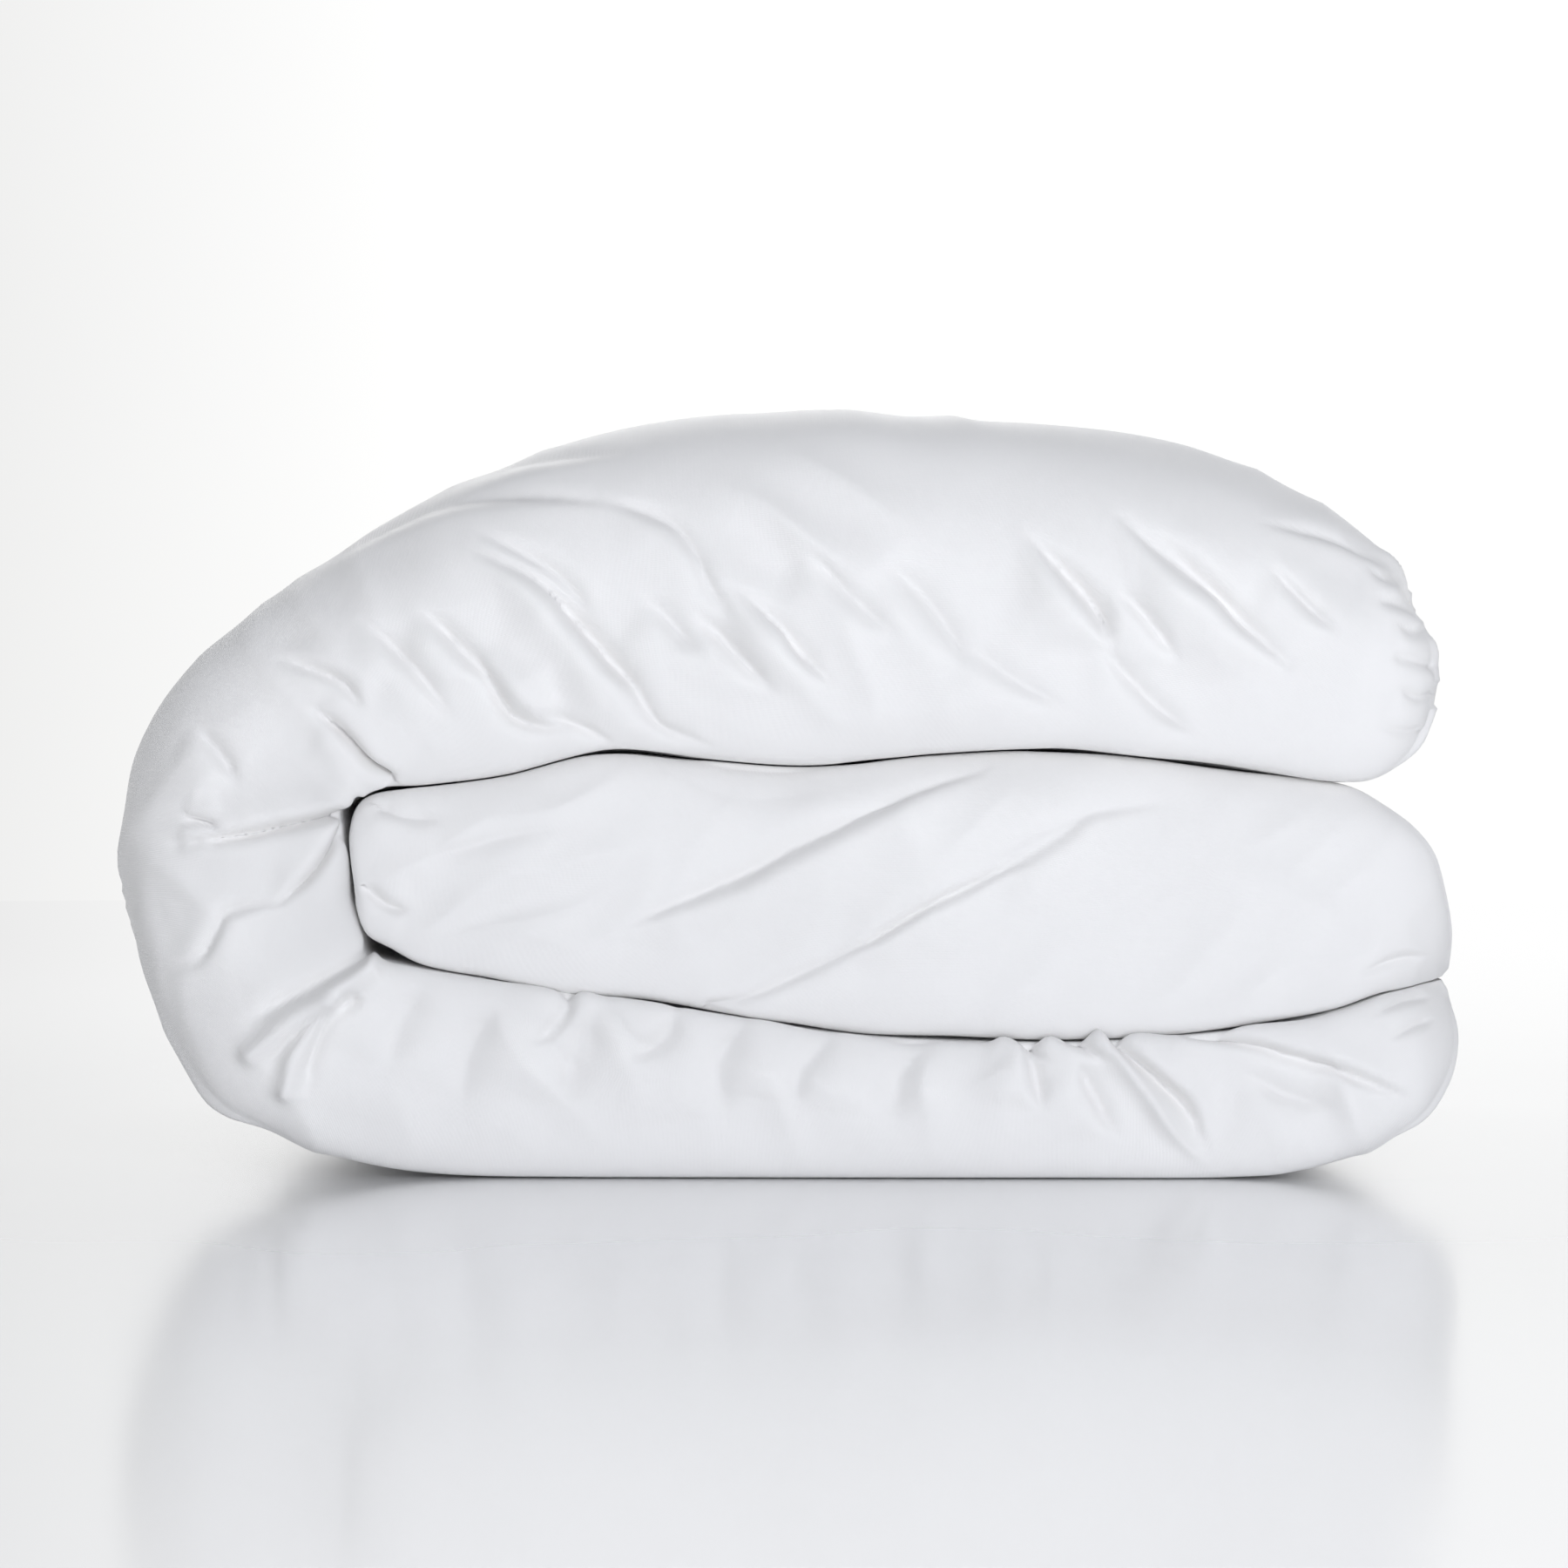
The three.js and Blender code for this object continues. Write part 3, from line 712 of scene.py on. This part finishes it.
# How far the cloth is held behind the zip's tapes, and how fast it swells again beside them
ZIP_CLEARANCE = 0.0003
ZIP_EASING = 0.03

POCKET_STEPS = (24, 12, 8)
LINING_STEPS = (90, 30, 1)


def make_cover(name, layer, steps, creases, heading, uprights, settings, material):
    """A puffed and creased cover in the shape of a soft layer."""
    piece = add_piece(box_grid(steps), name, material)
    mesh = piece.data
    grid = read_places(mesh)
    map_weave(mesh, grid, np.array([layer.length, BACK_Y - FRONT_Y, 2 * cad_high.z / 3]))
    places = layer.place(grid)
    write_places(mesh, places)
    face_out(mesh)
    normals = read_normals(mesh)
    free = freedom(places)
    broad = ripples(places, **BROAD_WAVES)
    fine = 0.45 - np.abs(ripples(places, FINE_LENGTH, FINE_SEED, heading, 24))
    upright = 0.6 - 1.5 * np.abs(ripples(places, **UPRIGHT_WAVES))
    fine += (upright - fine) * (1 - smoothstep(0.09, 0.15, places[:, 2])) * uprights
    gathered = 0.5 - 1.2 * np.abs(ripples(places, **GATHERED_WAVES))
    fine += (gathered - fine) * smoothstep(0.5, 0.9, np.abs(normals[:, 0]))
    small = fine * smoothstep(-0.7, 0.7, ripples(places, **PATCHES))
    calm = 1 - settings.top_calm * smoothstep(0.3, 0.9, normals[:, 2])
    swell = settings.undulation * broad + settings.crumple * small
    hidden = 1 - smoothstep(0.05, 0.45, -normals[:, 1])
    swell += hidden * (settings.undulation * (0.8 * broad + 0.5) + 0.4 * settings.crumple * small)
    swell = np.maximum(swell, -settings.deepest_hollow)
    pressed = (1 - free) * smoothstep(0.012, 0.05, places[:, 2])
    pressed *= 1 + 4 * smoothstep(0.06, 0.16, places[:, 1] - FRONT_Y)
    dents = settings.pressed_dents * pressed * smoothstep(-0.1, 1.1, ripples(places, **DIMPLES))
    behind = smoothstep(0.4, 0.8, normals[:, 1])
    puckers = settings.puckers * behind * ripples(places, **PUCKERS)
    places += normals * (swell * free * calm - dents + puckers * free)[:, None]
    write_places(mesh, places)
    press_creases(places, read_normals(mesh), creases, settings.crease_strength)
    places[:, 2] = np.maximum(places[:, 2], 0)
    seat_zip(places)
    write_places(mesh, places)
    return piece


def seat_zip(places):
    """Holds the cloth back behind the zip's tapes, and lets it swell again beside them."""
    low = np.array(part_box("zip_tape_lower")[0])
    high = np.array(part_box("zip_tape_upper")[1])
    outside = np.maximum(np.maximum(low - places, places - high), 0)[:, 1:]
    apart = np.linalg.norm(outside, axis=1)
    limit = low[0] - ZIP_CLEARANCE + ZIP_EASING * smoothstep(0.002, ZIP_EASING, apart)
    places[:, 0] = np.minimum(places[:, 0], limit)


class DUVET_OT_outer_cover(bpy.types.Operator):
    """Build the cover of the base and top layers, which run into each other round the left fold"""

    bl_idname = "duvet.outer_cover"
    bl_label = "Outer Cover"

    def execute(self, context):
        settings = context.scene.duvet_cover
        material = woven("white_sateen", settings.colour, settings.thread, 0.36, 0.3)
        layer = SoftLayer(roll_stations(), settings, 1.0)
        cover = make_cover(
            "duvet_cover_outer", layer, (560, 72, 84), ROLL_CREASES, (0.76, 0, 0.65), 1, settings, material
        )
        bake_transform(cover)
        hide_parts("cover_face_base", "cover_face_top", "cover_foot_hem")
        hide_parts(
            *[f"side_hem_{part}_{ply}" for part in ("base", "top") for ply in ("outer", "inner")]
        )
        return {"FINISHED"}


class DUVET_OT_middle_cover(bpy.types.Operator):
    """Build the cover of the middle layer, which comes off the base round the right fold"""

    bl_idname = "duvet.middle_cover"
    bl_label = "Middle Cover"

    def execute(self, context):
        settings = context.scene.duvet_cover
        layer = SoftLayer(middle_stations(), settings, settings.seam_share)
        material = bpy.data.materials["white_sateen"]
        cover = make_cover(
            "duvet_cover_middle", layer, (260, 72, 84), MIDDLE_CREASES, (-0.5, 0, 0.86), 0, settings, material
        )
        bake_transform(cover)
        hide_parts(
            "cover_face_middle", "cover_head_hem", "side_hem_middle_outer", "side_hem_middle_inner"
        )
        return {"FINISHED"}


def puffed(grid, roundness):
    """Rounds a grid box from -1 to 1 some of the way to a ball."""
    square = grid**2
    others = square[:, [1, 2, 0]], square[:, [2, 0, 1]]
    ball = grid * np.sqrt(1 - others[0] / 2 - others[1] / 2 + others[0] * others[1] / 3)
    return grid + (ball - grid) * roundness


def split_share(layer, low, high, split_x):
    """Where between two shares of a layer its middle line crosses a place across the roll."""
    shares = np.linspace(low, high, 200)
    middle = layer.place(np.column_stack([shares, np.full(200, 0.5), np.full(200, 0.5)]))[:, 0]
    return float(shares[np.argmin(np.abs(middle - split_x))])


def layer_parts(settings):
    """Each part of the duvet with its soft layer, its first and last share, and its first side."""
    roll = SoftLayer(roll_stations(), settings, 1.0)
    middle = SoftLayer(middle_stations(), settings, settings.seam_share)
    bend = roll.share_of(LEFT_STATION)
    return (
        ("base", roll, 0, bend, "right"),
        ("top", roll, bend, 1, "left"),
        ("middle", middle, 0, 1, "right"),
    )


class DUVET_OT_fill(bpy.types.Operator):
    """Fill the cover with pockets of wadding, two plies deep"""

    bl_idname = "duvet.fill"
    bl_label = "Fill Pockets"

    def execute(self, context):
        settings = context.scene.duvet_cover
        fill = context.scene.duvet_fill
        wadding = Finish("wadding")
        place = wadding.place()
        fibres = wadding.noise(place, 400.0, 6.0, 0.7)
        colour = wadding.mix(fibres, (0.86, 0.85, 0.82), (0.95, 0.94, 0.92))
        wadding.set(Base_Color=colour, Roughness=0.9)
        wadding.bump(fibres, 0.001)
        for part, layer, low, high, first_side in layer_parts(settings):
            last_side = "left" if first_side == "right" else "right"
            for ply, (w0, w1) in {"inner": (0, 0.5), "outer": (0.5, 1)}.items():
                for end, (v0, v1) in {"front": (0, 0.5), "rear": (0.5, 1)}.items():
                    first = f"fill_{part}_{ply}_{end}_{first_side}"
                    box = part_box(first)
                    split_x = box[0].x if first_side == "right" else box[1].x
                    split = split_share(layer, low, high, split_x)
                    for side, (u0, u1) in {first_side: (low, split), last_side: (split, high)}.items():
                        name = f"fill_{part}_{ply}_{end}_{side}"
                        limits = np.array([(u0, v0, w0), (u1, v1, w1)])
                        self.add_pocket(name, part, layer, limits, fill, wadding.material)
        return {"FINISHED"}

    def add_pocket(self, name, part, layer, limits, fill, material):
        pocket = add_piece(box_grid(POCKET_STEPS), name.replace("fill_", "pocket_"), material)
        grid = 2 * read_places(pocket.data) - 1
        margin = np.array([fill.margin / layer.length, fill.margin / (BACK_Y - FRONT_Y), fill.skin_margin])
        low = limits[0] + margin
        high = limits[1] - margin
        shape = puffed(grid, fill.puff)
        places = layer.place(low + (high - low) * (shape + 1) / 2)
        write_places(pocket.data, places)
        face_out(pocket.data)
        lumps = ripples(places, LUMP_LENGTH, len(name)) * fill.lumpiness
        slack = fill.clearance + fill.lumpiness + lumps
        write_places(pocket.data, places - read_normals(pocket.data) * slack[:, None])
        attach(pocket, f"{part}_layer")
        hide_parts(name)


class DUVET_OT_linings(bpy.types.Operator):
    """Hang the lining sheets between the two plies of each layer"""

    bl_idname = "duvet.linings"
    bl_label = "Linings"

    def execute(self, context):
        settings = context.scene.duvet_cover
        cotton = woven("lining_cotton", (0.92, 0.9, 0.86), settings.thread, 0.75, 0.02)
        for part, layer, low, high, _ in layer_parts(settings):
            lining = add_piece(box_grid(LINING_STEPS), f"lining_{part}", cotton)
            grid = read_places(lining.data)
            length = (high - low) * layer.length
            depth = BACK_Y - FRONT_Y
            map_weave(lining.data, grid, np.array([length, depth, settings.lining_share]))
            inset = settings.lining_inset / layer.length
            u = low + inset + (high - low - 2 * inset) * grid[:, 0]
            v = 0.12 + 0.84 * grid[:, 1]
            w = 0.5 + settings.lining_share * (grid[:, 2] - 0.5)
            write_places(lining.data, layer.place(np.column_stack([u, v, w])))
            face_out(lining.data)
            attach(lining, f"{part}_layer")
            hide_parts(f"cover_lining_{part}")
        return {"FINISHED"}


def softened(node, name, material):
    """A copy of a CAD node with its sharp edges rounded."""
    source = frame_node(node)
    bm = bmesh.new()
    bm.from_mesh(source.data)
    bm.transform(source.matrix_world)
    bmesh.ops.remove_doubles(bm, verts=bm.verts, dist=1e-6)
    bmesh.ops.dissolve_limit(bm, angle_limit=math.radians(1), verts=bm.verts, edges=bm.edges)
    sharp = [e for e in bm.edges if len(e.link_faces) == 2 and e.calc_face_angle() > math.radians(50)]
    bmesh.ops.bevel(bm, geom=sharp, offset=0.0002, segments=2, profile=0.5, material=-1, affect="EDGES")
    return add_piece(bm, name, material)


def frame_node(name):
    return next(o for o in bpy.data.objects if o.get("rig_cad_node") == name or o.name == name)


class DUVET_OT_zip(bpy.types.Operator):
    """Make the zip at the foot end, with its woven tapes, teeth, stops, slider and pull"""

    bl_idname = "duvet.zip"
    bl_label = "Zip"

    def execute(self, context):
        settings = context.scene.duvet_zip
        tape = woven("zip_tape_weave", (0.9, 0.89, 0.86), 0.0005, 0.8, 0.05)
        nylon = Finish("coil_nylon")
        grain = nylon.noise(nylon.place(), 900.0)
        colour = nylon.mix(grain, (0.82, 0.81, 0.78), (0.9, 0.89, 0.87))
        nylon.set(Base_Color=colour, Roughness=0.3 + 0.1 * grain)
        nylon.bump(grain, 0.00003)
        metal = brushed_metal()
        for half, sign in {"lower": -1, "upper": 1}.items():
            self.add_tape(half, sign, settings, tape)
            self.add_teeth(half, sign, settings, nylon.material)
        for node in ("zip_slider", "zip_pull_tab", "zip_top_stop", "zip_bottom_stop"):
            frame_node(node).data.materials.clear()
            frame_node(node).data.materials.append(metal)
        return {"FINISHED"}

    def add_tape(self, half, sign, settings, material):
        node = f"zip_tape_{half}"
        low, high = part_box(node)
        tape = add_piece(box_grid((1, 240, 10)), f"tape_{half}", material)
        grid = read_places(tape.data)
        size = np.array(high - low)
        map_weave(tape.data, grid, size)
        places = np.array(low) + grid * size
        from_teeth = grid[:, 2] if sign > 0 else 1 - grid[:, 2]
        wave = np.sin(places[:, 1] / settings.tape_wave) * 0.0004 * from_teeth**2
        cord = 0.0003 * np.exp(-(((from_teeth - 0.08) / 0.06) ** 2))
        places[:, 0] += wave + np.where(grid[:, 0] > 0.5, cord, 0)
        write_places(tape.data, places)
        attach(tape, "top_layer")
        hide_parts(node)

    def add_teeth(self, half, sign, settings, material):
        node = f"zip_coil_{half}"
        low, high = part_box(node)
        size = high - low
        count = int(size.y / settings.pitch)
        stagger = 0.75 if sign > 0 else 0.25
        bm = bmesh.new()
        for number in range(count):
            y = low.y + (number + stagger) * size.y / count
            centre = ((low.x + high.x) / 2, y, (low.z + high.z) / 2)
            scale = Matrix.Diagonal((size.x * 0.96, settings.pitch * 0.45, size.z * 1.02, 1))
            lean = Matrix.Rotation(math.radians(8 * sign), 4, "X")
            bmesh.ops.create_cube(bm, size=1, matrix=Matrix.Translation(centre) @ lean @ scale)
        bmesh.ops.bevel(
            bm, geom=bm.edges[:], offset=0.0003, segments=2, profile=0.5, material=-1, affect="EDGES"
        )
        teeth = add_piece(bm, f"teeth_{half}", material)
        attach(teeth, "top_layer")
        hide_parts(node)


def brushed_metal():
    metal = Finish("zip_nickel")
    place = metal.place()
    streaks = metal.node("ShaderNodeMapping", None, Vector=place, Scale=(400, 4000, 400)).outputs[0]
    brushing = metal.noise(streaks, 1.0, 4.0, 0.6)
    metal.set(Base_Color=metal.mix(brushing, (0.62, 0.61, 0.58), (0.78, 0.77, 0.75)), Metallic=1.0)
    metal.set(Roughness=0.25 + 0.2 * brushing)
    metal.bump(brushing, 0.00002)
    return metal.material


class DUVET_OT_trimmings(bpy.types.Operator):
    """Sew on the care label, the corner loops and the ties"""

    bl_idname = "duvet.trimmings"
    bl_label = "Label, Loops and Ties"

    def execute(self, context):
        tape = woven("tie_tape", (0.93, 0.92, 0.89), 0.0004, 0.7, 0.05)
        for end, part in {"head": "middle_layer", "foot": "top_layer"}.items():
            for ply in ("outer", "inner"):
                for kind in ("loop", "tie"):
                    node = f"corner_{kind}_{end}_{ply}"
                    piece = softened(node, f"{kind}_{end}_{ply}", tape)
                    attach(piece, part)
                    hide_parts(node)
        self.add_label(context.scene.duvet_zip)
        return {"FINISHED"}

    def add_label(self, settings):
        satin = woven("label_satin", (0.95, 0.95, 0.94), 0.0003, 0.35, 0.0)
        low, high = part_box("care_label")
        label = add_piece(box_grid((24, 1, 32)), "label", satin)
        grid = read_places(label.data)
        size = np.array(high - low)
        map_weave(label.data, grid, size)
        hang = 1 - grid[:, 2]
        places = np.array(low) + grid * size
        places[:, 1] += settings.label_curl * hang**2 * (0.6 + 0.4 * np.cos(math.pi * grid[:, 0]))
        write_places(label.data, places)
        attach(label, "top_layer")
        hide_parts("care_label")


class DUVET_OT_stage(bpy.types.Operator):
    """Lay the pale floor and set the lights and the camera"""

    bl_idname = "duvet.stage"
    bl_label = "Stage"

    def execute(self, context):
        settings = context.scene.duvet_studio
        make_floor(settings)
        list(make_lights(settings))
        make_room(context.scene, settings)
        make_camera(context.scene, settings)
        context.scene.view_settings.view_transform = "Standard"
        return {"FINISHED"}


# ---------------------------------------------------------------- stage

# How far to the left the far side of the room starts to darken with painted shade, on the floor's glow and on
# the backdrop, and how far that goes on
PAINTED_SHADE_START = 0.08
PAINTED_SHADE_REACH = 0.1


def make_floor(settings):
    finish = Finish("floor")
    place = finish.place()
    haze = finish.noise(place, 3.0, 2.0)
    colour = finish.mix(haze, (0.93, 0.935, 0.95), (0.945, 0.95, 0.96))
    finish.set(Base_Color=colour, Roughness=0.2 + 0.05 * haze)
    finish.set(Specular_IOR_Level=0.6, Coat_Weight=1.0, Coat_Roughness=0.14, Coat_IOR=1.7)
    spot = finish.node("ShaderNodeSeparateXYZ", None, Vector=place)
    # Painted shade: the floor's glow darkens towards the left, as seen from the eye
    leftward = -1.0 * (finish.number(spot, 0) / (finish.number(spot, 1) - EYE.y)) - PAINTED_SHADE_START
    painted_shade = (leftward * leftward.greater(0)).lower_of(PAINTED_SHADE_REACH) * (1 / PAINTED_SHADE_REACH)
    painted_glow_colour = finish.mix(painted_shade, (1, 1, 1), (0.84, 0.84, 0.84))
    # Painted light: away from the roll the floor glows instead of being lit, fading in from the lit floor
    # near the roll
    painted_glow = finish.node("ShaderNodeEmission", None, Color=painted_glow_colour, Strength=1.0)
    length = finish.node("ShaderNodeVectorMath", {"operation": "LENGTH"})
    finish.tree.links.new(place, length.inputs[0])
    smooth = {"interpolation_type": "SMOOTHSTEP"}
    ramp = finish.node("ShaderNodeMapRange", smooth, From_Min=0.37, From_Max=3.6)
    finish.tree.links.new(length.outputs["Value"], ramp.inputs["Value"])
    fade = finish.node("ShaderNodeMixShader")
    finish.tree.links.new(ramp.outputs[0], fade.inputs[0])
    finish.tree.links.new(finish.shader.outputs[0], fade.inputs[1])
    finish.tree.links.new(painted_glow.outputs[0], fade.inputs[2])
    finish.tree.links.new(fade.outputs[0], finish.tree.nodes["Material Output"].inputs[0])
    bm = bmesh.new()
    bmesh.ops.create_circle(bm, cap_ends=True, segments=128, radius=settings.floor_radius)
    floor = add_piece(bm, "floor", finish.material)
    floor.data.transform(Matrix.Translation((0, 0, -0.0006)))
    return floor


def make_light(name, sizes, power, place, target, colour):
    lamp = bpy.data.lights.new(name, "AREA")
    lamp.shape = "RECTANGLE"
    lamp.size, lamp.size_y = sizes
    lamp.energy = power
    lamp.color = colour
    light = bpy.data.objects.new(name, lamp)
    bpy.context.scene.collection.objects.link(light)
    light.location = place
    light.rotation_euler = (Vector(target) - Vector(place)).to_track_quat("-Z", "Y").to_euler()
    return light


def make_lights(settings):
    middle = (0, 0, cad_high.z / 2)
    cool = (0.905, 0.93, 1)
    warm = (1, 0.99, 0.96)
    key = make_light("front_softbox", (2.6, 1.2), settings.key_power, (0.9, -3.4, 0.6), middle, cool)
    rear = make_light("rear_softbox", (2.4, 1.6), settings.rear_power, (-0.6, 2.6, 2.4), middle, warm)
    return key, rear


def make_room(scene, settings):
    """A white room: bright where it is looked at or mirrored, with painted shade towards the left there, and
    softer as a light.
    """
    room = bpy.data.worlds.new("room")
    room.use_nodes = True
    tree = room.node_tree
    lit = tree.nodes["Background"]
    lit.inputs["Color"].default_value = (0.92, 0.945, 1, 1)
    facing = tree.nodes.new("ShaderNodeSeparateXYZ")
    tree.links.new(tree.nodes.new("ShaderNodeTexCoord").outputs["Generated"], facing.inputs[0])
    behind = Number(tree, facing.outputs["Y"])
    from_behind = behind * behind.greater(0)
    strength = settings.ambient * (0.55 + 2.3 * from_behind * from_behind)
    tree.links.new(strength.socket, lit.inputs["Strength"])
    shown = tree.nodes.new("ShaderNodeBackground")
    shown.inputs["Color"].default_value = (1, 1, 0.995, 1)
    # Painted shade: the backdrop that is looked at or mirrored darkens towards the left, in the part of the
    # room behind the roll
    leftward = Number(tree, facing.outputs["X"]) * -1.0 - PAINTED_SHADE_START
    painted_shade = leftward * leftward.greater(0) * from_behind * from_behind
    backdrop_with_painted_shade = 1.02 - 1.6 * painted_shade.lower_of(PAINTED_SHADE_REACH)
    tree.links.new(backdrop_with_painted_shade.socket, shown.inputs["Strength"])
    ray = tree.nodes.new("ShaderNodeLightPath")
    seen = Number(tree, ray.outputs["Is Camera Ray"]) + Number(tree, ray.outputs["Is Glossy Ray"])
    blend = tree.nodes.new("ShaderNodeMixShader")
    tree.links.new(seen.socket, blend.inputs[0])
    tree.links.new(lit.outputs[0], blend.inputs[1])
    tree.links.new(shown.outputs[0], blend.inputs[2])
    tree.links.new(blend.outputs[0], tree.nodes["World Output"].inputs[0])
    scene.world = room


def make_camera(scene, settings):
    lens = bpy.data.cameras.new("camera")
    lens.lens = settings.lens
    lens.sensor_width = 36
    camera = bpy.data.objects.new("camera", lens)
    scene.collection.objects.link(camera)
    camera.location = EYE
    camera.rotation_euler = (math.radians(90), 0, 0)
    scene.camera = camera


# ---------------------------------------------------------------- add-on


class DUVET_PT_panel(bpy.types.Panel):
    """Lists the duvet's settings and pieces"""

    bl_idname = "DUVET_PT_panel"
    bl_label = "Folded Duvet"
    bl_space_type = "VIEW_3D"
    bl_region_type = "UI"
    bl_category = "Duvet"

    def draw(self, context):
        for group in (getattr(context.scene, name) for name in SETTINGS):
            for name in group.bl_rna.properties.keys():
                if name not in ("rna_type", "name"):
                    self.layout.prop(group, name)
        for step in STEPS:
            self.layout.operator(step.bl_idname)


STEPS = (
    DUVET_OT_outer_cover,
    DUVET_OT_middle_cover,
    DUVET_OT_fill,
    DUVET_OT_linings,
    DUVET_OT_zip,
    DUVET_OT_trimmings,
    DUVET_OT_stage,
)
GROUPS = (DuvetCoverSettings, FillSettings, ZipSettings, StudioSettings)
SETTINGS = ("duvet_cover", "duvet_fill", "duvet_zip", "duvet_studio")


def register():
    for group in (*GROUPS, *STEPS, DUVET_PT_panel):
        bpy.utils.register_class(group)
    for name, group in zip(SETTINGS, GROUPS):
        setattr(bpy.types.Scene, name, PointerProperty(type=group))


def unregister():
    for name in SETTINGS:
        delattr(bpy.types.Scene, name)
    for group in reversed((*GROUPS, *STEPS, DUVET_PT_panel)):
        bpy.utils.unregister_class(group)


def main():
    register()
    for step in STEPS:
        family, name = step.bl_idname.split(".")
        getattr(getattr(bpy.ops, family), name)()


if __name__ == "__main__":
    main()
